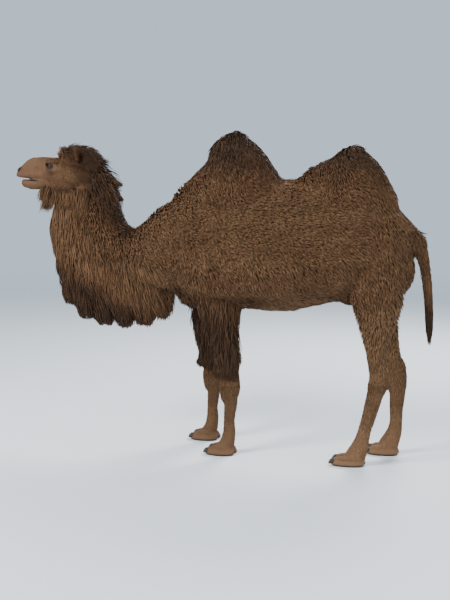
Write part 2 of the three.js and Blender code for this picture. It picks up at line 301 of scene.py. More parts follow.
def section(tree, behind):
    """A solid's middle height, half width, and reach over and under it, this far behind the nose."""
    y = NOSE + behind
    top, under = meet(tree, (0, y, 3), (0, 0, -1))[2], meet(tree, (0, y, 0), (0, 0, 1))[2]
    middle = under + 0.45 * (top - under)
    side = meet(tree, (1, y, middle), (-1, 0, 0))[0] - FACE_COAT
    return middle, side, top - middle - FACE_COAT, middle - under


def tips_on(tree, lowest, highest, way, start, reach=0.035):
    """The points where the solids' edge stands farthest off its own slope, within reach of a height."""
    heights = np.arange(lowest, highest, 0.005)
    edges = np.array([edge(tree, z, way, start) for z in heights])
    out = way * edges[:, 1]
    out = out - np.polyval(np.polyfit(heights, out, 2), heights)
    near = round(reach / 0.005)
    best = [i for i in range(near, len(out) - near) if out[i] >= out[i - near : i + near + 1].max() - 1e-6]
    return [edges[i] for n, i in enumerate(best) if n == 0 or i - best[n - 1] > near]


FACE_COAT = 0.003
HEAD_TREE = tree_of("head")
MANE_TREE, THROAT_TREE = tree_of("head", "neck"), tree_of("beard", "jaw", "neck")
JAW_LOW = np.array(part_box("jaw")[0])
MUZZLE = np.array([0.006, 0.018, 0.034, 0.058, 0.093, 0.130, 0.210])
MUZZLE_OF = np.array([section(HEAD_TREE, behind) for behind in MUZZLE])
LIP_OF = MUZZLE_OF[:, 0] - MUZZLE_OF[:, 3]
LIP = float(np.interp(0.050, MUZZLE, LIP_OF))
FEET = {leg: foot_of(leg) for leg in LEGS}
NAILS = [f"nail_{leg[4:]}_{place}" for leg in LEGS for place in ("inner", "outer")]
KNEE_Z, HOCK_Z = 0.455, {"leg_hind_left": 0.60, "leg_hind_right": 0.545}


# ------------------------------------------------------------------ the coat's depth and its colour
def foreleg_span(y):
    """1 between the front and the back of the forelegs."""
    return smooth(0.42, 0.30, y) * smooth(-0.45, -0.35, y)


def depth(x, y, z):
    """How far the skin lies inside the outline of the coat."""
    d = 0.020 + 0 * (x + y + z)
    hump = smooth(HUMP_TOPS[1] - 0.26, HUMP_TOPS[1] - 0.02, z) * smooth(-0.5, -0.3, y)
    d = d - 0.004 * hump
    neck = smooth(-0.42, -0.62, y) * smooth(1.00, 1.15, z)
    d = d + 0.012 * neck
    legs_low = smooth(0.62, 0.54, z)
    breech = foreleg_span(y) * smooth(1.08, 0.80, z) * smooth(0.52, 0.60, z)
    d = d + 0.016 * breech
    hind = smooth(0.80, 0.87, y) * smooth(1.0, 0.75, z)
    d = d - 0.010 * hind * (1 - legs_low)
    d = d * (1 - legs_low) + 0.003 * legs_low
    tail = smooth(1.335, 1.37, y)
    d = d * (1 - tail) + tail * 0.008
    head = smooth(-0.80, -0.93, y) * smooth(1.62, 1.70, z)
    d = d * (1 - head) + 0.036 * head
    crown = smooth(-0.72, -0.84, y) * smooth(1.90, 1.97, z)
    d = d + 0.050 * crown
    nape = smooth(1.55, 1.66, z) * smooth(-1.02, -0.86, y) * smooth(-0.46, -0.56, y) * (1 - crown)
    d = d + 0.016 * nape * smooth(-0.62, -0.70, y)
    d = d + 0.050 * nape * smooth(-0.745, -0.70, y) * smooth(1.84, 1.79, z)
    return d


def tone_of(p):
    """The markings: 0 where the hair is darkest, 1 on the palest wool. Skin and coat share them."""
    x, y, z = p[..., 0], p[..., 1], p[..., 2]
    tone = 0.62 + 0 * z
    tone = tone + 0.16 * smooth(1.15, 0.95, z) * smooth(0.1, 0.4, y) * smooth(1.35, 1.2, y)
    tone = tone - 0.45 * smooth(HUMP_TOPS[1] - 0.30, HUMP_TOPS[1] - 0.03, z) * smooth(-0.6, -0.4, y)
    neck_under = smooth(-0.10, 0.06, -(z - 1.18) - 0.55 * (y + 0.9)) * smooth(-0.25, -0.5, y)
    tone = tone - 0.42 * neck_under * smooth(-1.30, -1.18, y)
    nape = smooth(-0.45, -0.72, y) * smooth(-0.06, 0.10, z - 1.55 + 1.35 * (y + 0.78))
    nape = nape * smooth(0.13, 0.05, np.abs(x))
    tone = tone - 0.40 * nape * smooth(-1.16, -1.06, y)
    tone = tone - 0.42 * foreleg_span(y) * smooth(1.16, 0.92, z) * smooth(0.50, 0.56, z)
    tone = tone + 0.06 * smooth(0.52, 0.46, z)
    tone = tone - 0.5 * smooth(1.33, 1.36, y) * smooth(1.25, 1.05, z)
    muzzle = smooth(NOSE + 0.16, NOSE + 0.02, y)
    tone = tone - 0.10 * muzzle
    return np.clip(tone, 0.04, 1)


# ------------------------------------------------------------------ fields
GRID_LOW = low - 0.06
GRID_SHAPE = tuple(int(n) for n in np.ceil((high - low + 0.12) / STEP) + 1)
VOXEL, DEEP, OUTSIDE = 0.008, 0.10, 0.034


def distances_of(names):
    """The grid of signed distances from the joined nodes."""
    return distances(*solid_of(names, VOXEL), GRID_LOW, GRID_SHAPE, STEP, DEEP, OUTSIDE)


flesh = distances_of([*FLESH, *EYES])
outline = distances_of([*FLESH, *EYES, "beard"])
COAT = Field(GRID_LOW, STEP, outline)
ROUND = Field(GRID_LOW, STEP, blurred(outline, 1.6))
HEM = Field(GRID_LOW, STEP, blurred(outline, 0.8))



def lined_up(values, axis):
    """The values along one axis of a grid."""
    return values.reshape([-1 if n == axis else 1 for n in range(3)])


gx, gy, gz = (lined_up((GRID_LOW[k] + STEP * np.arange(GRID_SHAPE[k])).astype(F32), k) for k in range(3))
slim = 1 - (1 - smooth(0.95, 0.70, gz)) * (1 - smooth(1.33, 1.37, gy))
peak = smooth(HUMP_TOPS[1] - 0.25, HUMP_TOPS[1] - 0.10, gz) * smooth(-0.5, -0.3, gy)
slim = np.maximum(slim, peak)
base = blurred(flesh, 0.75) * slim + blurred(flesh, 2.3) * (1 - slim)
base = base + depth(gx, gy, gz).astype(F32)


# ------------------------------------------------------------------ the head, ears and feet
def ellipsoid(p, centre, half, axes=None):
    """Roughly the distance from an ellipsoid. axes are its three directions."""
    q = [p[k] - centre[k] for k in range(3)]
    if axes is not None:
        q = [q[0] * a[0] + q[1] * a[1] + q[2] * a[2] for a in axes]
    u = [q[k] / half[k] for k in range(3)]
    r = np.sqrt(u[0] ** 2 + u[1] ** 2 + u[2] ** 2)
    g = np.sqrt(sum((u[k] / half[k]) ** 2 for k in range(3)))
    return r * (r - 1) / np.maximum(g, 1e-6)


def capsule(p, a, b, radius):
    a, b = np.array(a), np.array(b)
    q = [p[k] - a[k] for k in range(3)]
    d = b - a
    h = np.clip((q[0] * d[0] + q[1] * d[1] + q[2] * d[2]) / (d @ d), 0, 1)
    return np.sqrt(sum((q[k] - h * d[k]) ** 2 for k in range(3))) - radius


def loft(p, knots, middle, across, over, under, square=2.3, taper=0.0):
    """A long form along Y whose sections follow the tables."""
    y = p[1]
    zc, w, up, dn = (profile(y, knots, v) for v in (middle, across, over, under))
    dz = p[2] - zc
    h = np.where(dz > 0, up, dn)
    w = w * (1 - taper * np.clip(dz / up, -1, 1))
    q = np.sqrt(p[0] ** 2 + dz**2) + 1e-6
    r = (np.abs(p[0] / w) ** square + np.abs(dz / h) ** square) ** (1 / square) + 1e-6
    d = q * (1 - 1 / r)
    return np.where(q < 0.01, (r - 1) * np.minimum(w, h), d)


def axes_at(outward, along):
    """Three directions at right angles, the first along, the last outward."""
    e = unit(np.array(outward, float))
    a = np.array(along, float)
    a = unit(a - (a @ e) * e)
    return [a, np.cross(e, a), e]


def eye_axes(side):
    a, b, e = axes_at((side * 0.95, -0.30, 0.10), (0, -1, -0.10))
    if b[2] < 0:
        b = -b
    return a, b, e


MOUTH_CORNER, BELOW_HEAD = NOSE + 0.180, 0.0035


def mouth_line(y):
    """The height of the line between the lips, just under the head's own solid."""
    return np.interp(y, NOSE + MUZZLE[2:], LIP_OF[2:]) - BELOW_HEAD


NOSTRIL = np.array([0.0445, NOSE + 0.050, LIP + 0.056])


def nostril_axes(side):
    """Along the slit, across it, and out of it."""
    return axes_at((side * 0.90, -0.42, 0.18), (side * 0.10, 0.80, 0.60))


# on each side: its middle, its half sizes, and how softly it joins
SWELLINGS = [  # the walls of the eye socket, the brow, the cheek bone, the wing of the nostril, and the lips
    ((0.062, EYE[1] + 0.002, EYE[2] - 0.002), (0.035, 0.056, 0.040), 0.022),
    ((0.070, EYE[1] + 0.008, EYE[2] + 0.029), (0.031, 0.046, 0.015), 0.014),
    ((0.072, EYE[1] + 0.014, EYE[2] - 0.036), (0.022, 0.064, 0.013), 0.020),
    ((0.034, NOSE + 0.058, LIP + 0.055), (0.020, 0.034, 0.022), 0.018),
    ((0.023, NOSE + 0.034, LIP + 0.025), (0.024, 0.022, 0.018), 0.012),
    ((0.037, NOSE + 0.078, LIP + 0.020), (0.020, 0.052, 0.018), 0.016),
]
HOLLOWS = [  # between the muzzle and the cheek, and behind the eye
    ((0.098, NOSE + 0.205, LIP + 0.055), (0.030, 0.050, 0.034), 0.03),
    ((0.112, EYE[1] + 0.070, EYE[2] + 0.022), (0.022, 0.024, 0.020), 0.02),
]
# half the opening of the lids, along and across, and how it lies on the ball
LID_LONG, LID_HIGH, LID_DROP, LID_TILT = 0.0222, 0.0128, 0.0015, 0.08


def head_field(x, y, z):
    p = (x, y, z)
    # the muzzle has the solid's own sections, rounded in towards the nose
    pinch = 1 - 0.4 * np.exp(-MUZZLE / 0.020)
    skull = loft(
        p,
        NOSE + np.append(MUZZLE, [0.300, 0.390, 0.480, 0.570, 0.640]),
        np.append(MUZZLE_OF[:, 0], EYE[2] - np.array([0.034, 0.037, 0.039, 0.039, 0.041])),
        np.append(MUZZLE_OF[:, 1] * pinch, [0.080, 0.092, 0.084, 0.064, 0.050]),
        np.append(MUZZLE_OF[:, 2], [0.090, 0.096, 0.094, 0.070, 0.050]),
        np.append(MUZZLE_OF[:, 3], [0.084, 0.104, 0.104, 0.082, 0.060]),
        square=2.35,
        taper=0.12,
    )
    skull = smax(skull, NOSE + 0.008 - y + 0 * x + 0 * z, 0.016)
    skull = smax(skull, y - (NOSE + 0.63) + 0 * x + 0 * z, 0.03)
    jaw = loft(
        p,
        NOSE + np.array([0.045, 0.060, 0.110, 0.195, 0.300, 0.410, 0.480]),
        LIP - np.array([0.033, 0.035, 0.036, 0.024, 0.011, 0.001, -0.007]),
        [0.028, 0.038, 0.047, 0.046, 0.053, 0.066, 0.050],
        [0.026, 0.031, 0.035, 0.035, 0.052, 0.054, 0.045],
        [0.015, 0.026, 0.044, 0.055, 0.080, 0.096, 0.070],
        square=2.2,
    )
    jaw = smax(jaw, NOSE + 0.047 - y + 0 * x + 0 * z, 0.014)
    jaw = smax(jaw, y - (NOSE + 0.49) + 0 * x + 0 * z, 0.03)
    for side in SIDES.values():
        jaw = smin(jaw, ellipsoid(p, (side * 0.050, NOSE + 0.395, LIP - 0.011), (0.032, 0.082, 0.062)), 0.03)
        for (across, back, up), half, k in SWELLINGS:
            skull = smin(skull, ellipsoid(p, (side * across, back, up), half), k)
        for (across, back, up), half, k in HOLLOWS:
            skull = smax(skull, -ellipsoid(p, (side * across, back, up), half), k)
    jaw = smin(jaw, ellipsoid(p, (0, NOSE + 0.076, LIP - 0.041), (0.034, 0.028, 0.024)), 0.014)
    head = smin(skull, jaw, 0.010)
    # the lips stand a little apart in front, and a crease runs back to the corner of the mouth
    ahead = MOUTH_CORNER - y
    gape = np.abs(z - mouth_line(y)) - 0.0058 * np.clip((ahead - 0.03) / 0.12, 0, 1) - 0.0009
    head = smax(head, -smax(gape, -(ahead + 0.012) + 0 * x, 0.004), 0.006)
    # the cleft of the upper lip
    head = smax(head, -capsule(p, (0, NOSE + 0.004, LIP + 0.050), (0, NOSE + 0.012, LIP), 0.0056), 0.006)
    for side in SIDES.values():
        # the nostril: a slanting slit with a raised rim
        at = NOSTRIL * (side, 1, 1)
        axes = nostril_axes(side)
        head = smin(head, ellipsoid(p, at + 0.0085 * axes[1], (0.027, 0.0085, 0.009), axes), 0.009)
        head = smin(head, ellipsoid(p, at - 0.0085 * axes[1], (0.022, 0.0065, 0.007), axes), 0.008)
        slit = (p[0], p[1], p[2] - 0.0045 * np.sin((y - at[1]) * 90))
        head = smax(head, -ellipsoid(slit, at + 0.006 * axes[2], (0.021, 0.0036, 0.022), axes), 0.004)
        # the eyelids: a shell round the ball, open in an almond
        eye = EYE * (side, 1, 1)
        a, b, e = eye_axes(side)
        q = [p[k] - eye[k] for k in range(3)]
        qa, qb, qe = (q[0] * v[0] + q[1] * v[1] + q[2] * v[2] for v in (a, b, e))
        ball = np.sqrt(q[0] ** 2 + q[1] ** 2 + q[2] ** 2)
        head = smin(head, ball - EYE_R - 0.0040, 0.010)
        around = smooth(0.036, 0.030, ball)
        crease = np.exp(-(((qb - 0.0185 + 13 * qa**2) / 0.0020) ** 2)) * around * (qe > 0)
        under = np.exp(-(((qb + 0.0185 - 11 * qa**2) / 0.0022) ** 2)) * around * (qe > 0)
        head = head + 0.0024 * crease + 0.0012 * under
        half = LID_HIGH * (1 - (qa / LID_LONG) ** 2)
        almond = np.maximum(np.abs(qb + LID_DROP - LID_TILT * qa) - half, 0.004 - qe)
        head = smax(head, -almond, 0.0022)
        head = np.maximum(head, EYE_R + 0.0002 - ball)
    return head


def ear_frame(side):
    """Along the ear, across it, and out of its hollow."""
    along = unit(np.array([side * 0.643, 0.262, 0.720]))
    face = unit(np.array([side * 0.383, -0.924, -0.006]))
    across = np.cross(face, along)
    return along, across, face


def ear_field(x, y, z, side):
    along, across, face = ear_frame(side)
    root = np.array([side * (EAR_LOW[0] + 0.026), EAR_HIGH[1] - 0.036, EAR_LOW[2] + 0.028])
    p = (x, y, z)
    q = [p[k] - root[k] for k in range(3)]
    a, w, o = (q[0] * v[0] + q[1] * v[1] + q[2] * v[2] for v in (along, across, face))
    bend = o - 1.6 * np.clip(a - 0.02, 0, 1) ** 2
    outer = ellipsoid((a, w, bend), (0.040, 0, 0), (0.060, 0.0265, 0.0135))
    hollow = ellipsoid((a, w, bend), (0.044, 0, 0.0125), (0.046, 0.0175, 0.0135))
    return smax(outer, -hollow, 0.004)


def foot_field(x, y, z, leg):
    """Two broad toes, each on its own cushion."""
    centre, size = FEET[leg]
    field = None
    for toe in (-1, 1):
        turn = math.radians(6 * toe)
        c, s = math.cos(turn), math.sin(turn)
        axes = np.array([[c, s, 0], [-s, c, 0], [0, 0, 1.0]])
        at = centre[0] + toe * size[0] * 0.232
        upper_half = (size[0] * 0.245, size[1] * 0.470, 0.037)
        pad_half = (size[0] * 0.270, size[1] * 0.495, 0.021)
        upper = ellipsoid((x, y, z), (at, centre[1] - 0.004, 0.024), upper_half, axes)
        pad = ellipsoid((x, y, z), (at, centre[1], 0.010), pad_half, axes)
        one = smin(upper, pad, 0.005)
        field = one if field is None else smin(field, one, 0.004)
    return smax(field, z - 0.085, 0.03)


def cleft_of(x, y, z, leg):
    """The gap between the toes, deepest in front."""
    centre, size = FEET[leg]
    front = smooth(centre[1] + 0.05 * size[1], centre[1] - 0.50 * size[1], y)
    closed = smooth(0.00, 0.05, y - centre[1]) + smooth(0.060, 0.085, z)
    return np.abs(x - centre[0]) - 0.010 * front + 0.02 * closed


def joint_field(x, y, z, leg):
    """The bones and tendons that show below the long hair."""
    p = (x, y, z)
    if "front" in leg:
        mid, size = band(leg, KNEE_Z)
        cap = ellipsoid(p, (mid[0], mid[1] - 0.33 * size[1], KNEE_Z - 0.010), (0.036, 0.016, 0.075))
        heel = ellipsoid(p, (mid[0] - 0.004, mid[1] + 0.34 * size[1], KNEE_Z + 0.008), (0.016, 0.018, 0.042))
        return smin(cap, heel, 0.01)
    height = HOCK_Z[leg]
    mid, size = band(leg, height)
    point = ellipsoid(p, (mid[0], mid[1] + 0.31 * size[1], height + 0.005), (0.019, 0.020, 0.085))
    side = ellipsoid(p, (mid[0], mid[1] - 0.06 * size[1], height - 0.055), (0.044, 0.030, 0.050))
    return smin(point, side, 0.02)


def hollow_field(x, y, z, leg):
    """The grooves beside the tendons, and the hollow over the hock."""
    p = (x, y, z)
    field = None
    for side in SIDES.values():
        mid, size = band(leg, 0.26)
        one = ellipsoid(p, (mid[0] + side * 0.040, mid[1] + 0.10 * size[1], 0.27), (0.012, 0.009, 0.10))
        field = one if field is None else np.minimum(field, one)
        if leg in HOCK_Z:
            height = HOCK_Z[leg]
            mid, size = band(leg, height)
            at = (mid[0] + side * 0.050, mid[1] + 0.20 * size[1], height + 0.040)
            dip = ellipsoid(p, at, (0.018, 0.016, 0.055))
            field = np.minimum(field, dip)
    return field


def lines(*spans):
    """Grid lines from the start: each span is (its end, its spacing)."""
    out = [spans[0][0]]
    for end, gap in spans[1:]:
        count = max(1, round((end - out[-1]) / gap))
        out += list(out[-1] + (end - out[-1]) * np.arange(1, count + 1) / count)
    return np.array(out, F32)


FINE, BODY, FOOT = 0.0044, 0.0165, 0.009
positive = lines((0.0,), (0.058, FINE), (0.112, 0.0030), (0.27, 0.0065), (high[0] + 0.02, BODY))
LX = np.concatenate([-positive[:0:-1], positive])
LY = lines(
    (low[1] - 0.02,), (NOSE + 0.10, 0.0030), (EYE[1] - 0.032, FINE), (EYE[1] + 0.032, 0.0025), (-0.86, FINE),
    (-0.72, 0.009), (-0.21, BODY), (0.21, FOOT), (0.88, BODY), (1.24, FOOT), (high[1] + 0.02, 0.012),
)
LZ = lines(
    (-0.02,), (0.11, 0.007), (0.60, 0.012), (1.62, BODY), (1.70, 0.009), (1.79, FINE), (1.82, 0.0026),
    (EYE[2] - 0.03, FINE), (EYE[2] + 0.03, 0.0025), (1.99, FINE), (2.06, 0.007), (high[2] + 0.02, 0.011),
)


def composed(field, grid):
    """The body's field with the head, ears and feet joined to it, on those lines."""

    def add(block, make, k, cut_out=False):
        cut = tuple(slice(*np.searchsorted(line, span)) for line, span in zip(grid, block))
        x, y, z = (lined_up(grid[n][cut[n]].astype(float), n) for n in range(3))
        field[cut] = smax(field[cut], -make(x, y, z), k) if cut_out else smin(field[cut], make(x, y, z), k)

    add(((-0.16, 0.16), (low[1] - 0.02, -0.72), (1.62, 2.08)), head_field, 0.02)
    for side in SIDES.values():
        span = sorted((side * 0.03, side * 0.18))
        add((span, (-1.03, -0.86), (1.90, 2.07)), lambda x, y, z: ear_field(x, y, z, side), 0.012)
    for leg in LEGS:
        centre = FEET[leg][0]
        block = ((centre[0] - 0.12, centre[0] + 0.12), (centre[1] - 0.14, centre[1] + 0.14), (-0.02, 0.12))
        add(block, lambda x, y, z: foot_field(x, y, z, leg), 0.012)
        add(block, lambda x, y, z: cleft_of(x, y, z, leg), 0.012, cut_out=True)
        block = ((centre[0] - 0.12, centre[0] + 0.12), (centre[1] - 0.20, centre[1] + 0.32), (0.10, 0.75))
        add(block, lambda x, y, z: joint_field(x, y, z, leg), 0.034)
        add(block, lambda x, y, z: hollow_field(x, y, z, leg), 0.016, cut_out=True)
    return np.maximum(field, 0.0006 - grid[2])


whole = composed(resampled(base, GRID_LOW, STEP, (LX, LY, LZ)).astype(F32), (LX, LY, LZ))
SKIN = Field(GRID_LOW, STEP, composed(base.copy(), (gx.ravel(), gy.ravel(), gz.ravel())))


# ------------------------------------------------------------------ the field's surface as one mesh
def surface(field, grid):
    """Corners and four-sided faces of the surface where the field is zero."""
    inside = field < 0
    u, v, w = (n - 1 for n in field.shape)
    corners = [(a, b, c) for a in (0, 1) for b in (0, 1) for c in (0, 1)]
    count = sum(inside[a: a + u, b: b + v, c: c + w].astype(np.uint8) for a, b, c in corners)
    cells = np.argwhere((count > 0) & (count < 8))
    number = np.full(count.shape, -1, np.int32)
    number[tuple(cells.T)] = np.arange(len(cells))
    corner = {at: field[tuple((cells + at).T)] for at in corners}
    total, hits = np.zeros((len(cells), 3)), np.zeros(len(cells))
    for axis in range(3):
        for other in ((0, 0), (0, 1), (1, 0), (1, 1)):
            start = list(other)
            start.insert(axis, 0)
            end = list(other)
            end.insert(axis, 1)
            a, b = corner[tuple(start)], corner[tuple(end)]
            cross = (a < 0) != (b < 0)
            t = np.where(cross, a / np.where(cross, a - b, 1), 0)
            at = np.tile(np.array(start, float), (len(cells), 1))
            at[:, axis] = t
            total += at * cross[:, None]
            hits += cross
    inner = total / hits[:, None]
    first = [grid[k][cells[:, k]] for k in range(3)]
    co = np.stack([first[k] + inner[:, k] * (grid[k][cells[:, k] + 1] - first[k]) for k in range(3)], 1)
    faces = []
    for axis in range(3):
        p, q = [k for k in range(3) if k != axis]
        a = [slice(None)] * 3
        b = [slice(None)] * 3
        a[axis], b[axis] = slice(None, -1), slice(1, None)
        edge = inside[tuple(a)] != inside[tuple(b)]
        at = np.argwhere(edge)
        within = (at[:, p] > 0) & (at[:, q] > 0)
        within &= (at[:, p] < field.shape[p] - 1) & (at[:, q] < field.shape[q] - 1)
        at = at[within]
        out = inside[tuple(at.T)]
        ring = []
        for dp, dq in ((-1, -1), (0, -1), (0, 0), (-1, 0)):
            cell = at.copy()
            cell[:, p] += dp
            cell[:, q] += dq
            ring.append(number[tuple(cell.T)])
        ring = np.stack(ring, 1)
        flip = out if axis != 1 else ~out
        faces.append(np.where(flip[:, None], ring, ring[:, ::-1]))
    return co, np.concatenate(faces)


def eased(co, faces, rounds, weight=0.5):
    edges = np.concatenate([faces[:, [k, (k + 1) % 4]] for k in range(4)])
    n = len(co)
    degree = np.bincount(edges[:, 0], minlength=n) + np.bincount(edges[:, 1], minlength=n)
    for _ in range(rounds):
        mean = np.stack([
            np.bincount(edges[:, 0], co[edges[:, 1], k], n) + np.bincount(edges[:, 1], co[edges[:, 0], k], n)
            for k in range(3)
        ], 1) / degree[:, None]
        co = co + weight * (mean - co)
    return co


skin_co, skin_faces = surface(whole, (LX.astype(float), LY.astype(float), LZ.astype(float)))
skin_co = eased(skin_co, skin_faces, 1, 0.45)


# ------------------------------------------------------------------ meshes and the bake's map
def mesh_of(name, co, loops, sizes):
    mesh = bpy.data.meshes.new(name)
    mesh.vertices.add(len(co))
    mesh.vertices.foreach_set("co", np.asarray(co, F32).ravel())
    mesh.loops.add(len(loops))
    mesh.loops.foreach_set("vertex_index", np.asarray(loops, np.int32))
    starts = np.concatenate([[0], np.cumsum(sizes)[:-1]])
    mesh.polygons.add(len(sizes))
    mesh.polygons.foreach_set("loop_start", starts.astype(np.int32))
    mesh.update(calc_edges=True)
    mesh.polygons.foreach_set("use_smooth", np.ones(len(sizes), bool))
    thing = bpy.data.objects.new(name, mesh)
    bpy.context.scene.collection.objects.link(thing)
    return thing


def give(thing, **values):
    """A number on every vertex, for the material to read."""
    for name, value in values.items():
        layer = thing.data.attributes.new(name, "FLOAT", "POINT")
        layer.data.foreach_set("value", np.asarray(value, F32).ravel())


def give_map(thing, uv):
    layer = thing.data.uv_layers.new(name="OFBake")
    layer.uv.foreach_set("vector", np.asarray(uv, F32).ravel())


# The skin unrolled: each body part is wound off its own axis into its own rectangle.
NECK_LINE = np.array([
    [NOSE - 0.02, 1.84], [-1.15, 1.88], [-0.93, 1.86], [-0.84, 1.64], [-0.70, 1.42], [-0.42, 1.37],
])
CHARTS = {
    "trunk": (0.02, 0.98, 0.02, 0.42),
    "neck": (0.02, 0.98, 0.45, 0.72),
    "tail": (0.90, 0.98, 0.75, 0.98),
}
CHARTS.update({leg: (0.02 + 0.215 * k, 0.205 + 0.215 * k, 0.75, 0.98) for k, leg in enumerate(LEGS)})
CHART_NAMES = list(CHARTS)
LEG_TOP, TAIL_SPAN, NECK_BACK = 1.06, (0.77, 0.76), -0.42


def chart_of(p):
    x, y, z = p.T
    chart = np.zeros(len(p), int)
    chart[(y < NECK_BACK) & (z > 1.0)] = CHART_NAMES.index("neck")
    for leg in LEGS:
        own = (np.sign(FEET[leg][0][0]) * x > 0) & (z < 1.04)
        own &= (y < 0.42) if "front" in leg else (y > 0.84)
        chart[own] = CHART_NAMES.index(leg)
    chart[y > 1.35] = CHART_NAMES.index("tail")
    return chart


def wound(p, chart):
    """Turns about the part's axis, and the share of its length, of each point."""
    x, y, z = p.T
    turn, along = np.arctan2(z - 1.42, x), (y + 0.45) / 1.85
    best = np.full(len(p), 1e9)
    neck_turn, neck_along = np.zeros(len(p)), np.zeros(len(p))
    lengths = np.linalg.norm(np.diff(NECK_LINE, axis=0), axis=1)
    for k, (a, b) in enumerate(zip(NECK_LINE, NECK_LINE[1:])):
        d = (b - a) / lengths[k]
        s = np.clip((y - a[0]) * d[0] + (z - a[1]) * d[1], 0, lengths[k])
        off_y, off_z = y - a[0] - s * d[0], z - a[1] - s * d[1]
        gap = np.hypot(off_y, off_z)
        hit = gap < best
        best[hit] = gap[hit]
        neck_turn[hit] = np.arctan2(off_z * d[0] - off_y * d[1], x)[hit]
        neck_along[hit] = ((lengths[:k].sum() + s) / lengths.sum())[hit]
    is_neck = chart == CHART_NAMES.index("neck")
    turn, along = np.where(is_neck, neck_turn, turn), np.where(is_neck, neck_along, along)
    for leg in LEGS:
        own = chart == CHART_NAMES.index(leg)
        turn[own] = np.arctan2(y - FEET[leg][0][1] - 0.05, x - FEET[leg][0][0])[own]
        along[own] = (z / LEG_TOP)[own]
    own = chart == CHART_NAMES.index("tail")
    turn[own] = np.arctan2(y - 1.43, x)[own]
    along[own] = ((z - TAIL_SPAN[0]) / TAIL_SPAN[1])[own]
    return turn / (2 * math.pi) + 0.5, np.clip(along, 0, 1)


def placed(turn, along, chart):
    rect = np.array([CHARTS[n] for n in CHART_NAMES])[chart]
    return np.stack([
        rect[:, 0] + (rect[:, 1] - rect[:, 0]) * (0.04 + 0.92 * turn),
        rect[:, 2] + (rect[:, 3] - rect[:, 2]) * along,
    ], 1)


def root_map(p):
    chart = chart_of(p)
    return placed(*wound(p, chart), chart)


def skin_map(co, faces):
    middle = co[faces].mean(1)
    chart = np.repeat(chart_of(middle), 4)
    around = np.repeat(wound(middle, chart[::4])[0], 4)
    turn, along = wound(co[faces.ravel()], chart)
    turn = around + (turn - around + 0.5) % 1 - 0.5
    return placed(turn, along, chart)


# ------------------------------------------------------------------ the skin
def quads(name, co, faces):
    """A piece of four-sided faces, and the directions its corners face."""
    thing = mesh_of(name, co, faces.ravel(), np.full(len(faces), 4))
    normals = np.empty(len(co) * 3, F32)
    thing.data.vertex_normals.foreach_get("vector", normals)
    return thing, normals.reshape(-1, 3).astype(float)


skin, skin_normals = quads("skin", skin_co, skin_faces)
give_map(skin, skin_map(skin_co, skin_faces))


# ------------------------------------------------------------------ the lie of the hair
def waves(p, scale, count=4, seed=1):
    """A smooth random number between about -1 and 1."""
    own = np.random.default_rng(seed)
    total = 0
    for _ in range(count):
        d = unit(own.normal(size=3))
        total = total + np.sin(p @ d * (2 * math.pi / scale) * own.uniform(0.6, 1.5) + own.uniform(0, TURN))
    return total / count * 1.3


def mixed(a, b, w):
    return a + (np.array(b, float) - a) * np.asarray(w)[..., None]


def lie(p, n):
    """The way the hair points, along the skin."""
    x, y, z = p.T
    ax = np.abs(x)
    v = np.tile([0.0, 1.0, -0.50], (len(p), 1))
    v = mixed(v, (0, 0.55, -0.95), smooth(1.45, 1.15, z) * smooth(0.10, 0.24, ax))
    v = mixed(v, (0, 1, -0.1), smooth(-0.35, -0.75, n[:, 2]))
    v = mixed(v, (0, 0.45, -1.0), smooth(HUMP_TOPS[1] - 0.42, HUMP_TOPS[1] - 0.15, z))
    v = mixed(v, (0, 0.20, -1), smooth(1.02, 1.22, y))
    v = mixed(v, (0, 0.12, -1), smooth(1.08, 0.90, z))
    v = mixed(v, (0, 0.8, -0.9), smooth(-0.25, -0.5, y))
    v = mixed(v, (0, 0.42, -1), smooth(-0.70, -0.82, y) * smooth(1.30, 1.50, z))
    head = smooth(-0.84, -0.94, y) * smooth(1.64, 1.70, z)
    v = mixed(v, (0, 1, -0.10), head)
    v = mixed(v, (0, 1, -0.45), head * smooth(0.05, 0.08, ax) * smooth(-1.15, -1.05, y))
    v = mixed(v, (0, 0.05, -1), smooth(1.34, 1.37, y))
    v = v - (v * n).sum(1, keepdims=True) * n
    v = unit(v)
    swirl = 0.35 * waves(p, 0.30, seed=3) + 0.15 * waves(p, 0.08, seed=4)
    return unit(v + swirl[:, None] * np.cross(n, v))


def roots(weight, spacing, co=None, faces=None, co_normals=None):
    """Places spread evenly over a surface, thinned by weight(place, direction), from 0 to 1."""
    co = skin_co if co is None else co
    faces = skin_faces if faces is None else faces
    co_normals = skin_normals if co_normals is None else co_normals
    corners = co[faces]
    middle, facing = corners.mean(1), unit(co_normals[faces].mean(1))
    share = np.clip(weight(middle, facing), 0, 1)
    diagonals = corners[:, 2] - corners[:, 0], corners[:, 3] - corners[:, 1]
    area = 0.5 * np.linalg.norm(np.cross(*diagonals), axis=1)
    mass = area * (share > 0.01)
    count = int(3.0 * mass.sum() / spacing**2)
    pick = RNG.choice(len(faces), count, p=mass / mass.sum())
    u, v = RNG.random((2, count, 1))
    blend = [(1 - u) * (1 - v), u * (1 - v), u * v, (1 - u) * v]
    p = sum(w * corners[pick, k] for k, w in enumerate(blend))
    n = unit(sum(w * co_normals[faces[pick, k]] for k, w in enumerate(blend)))
    cell = np.floor(p / spacing).astype(np.int64)
    key = (cell[:, 0] * 73856093) ^ (cell[:, 1] * 19349663) ^ (cell[:, 2] * 83492791)
    first = np.unique(key, return_index=True)[1]
    first = first[RNG.random(len(first)) < share[pick][first]]
    return p[first], n[first]


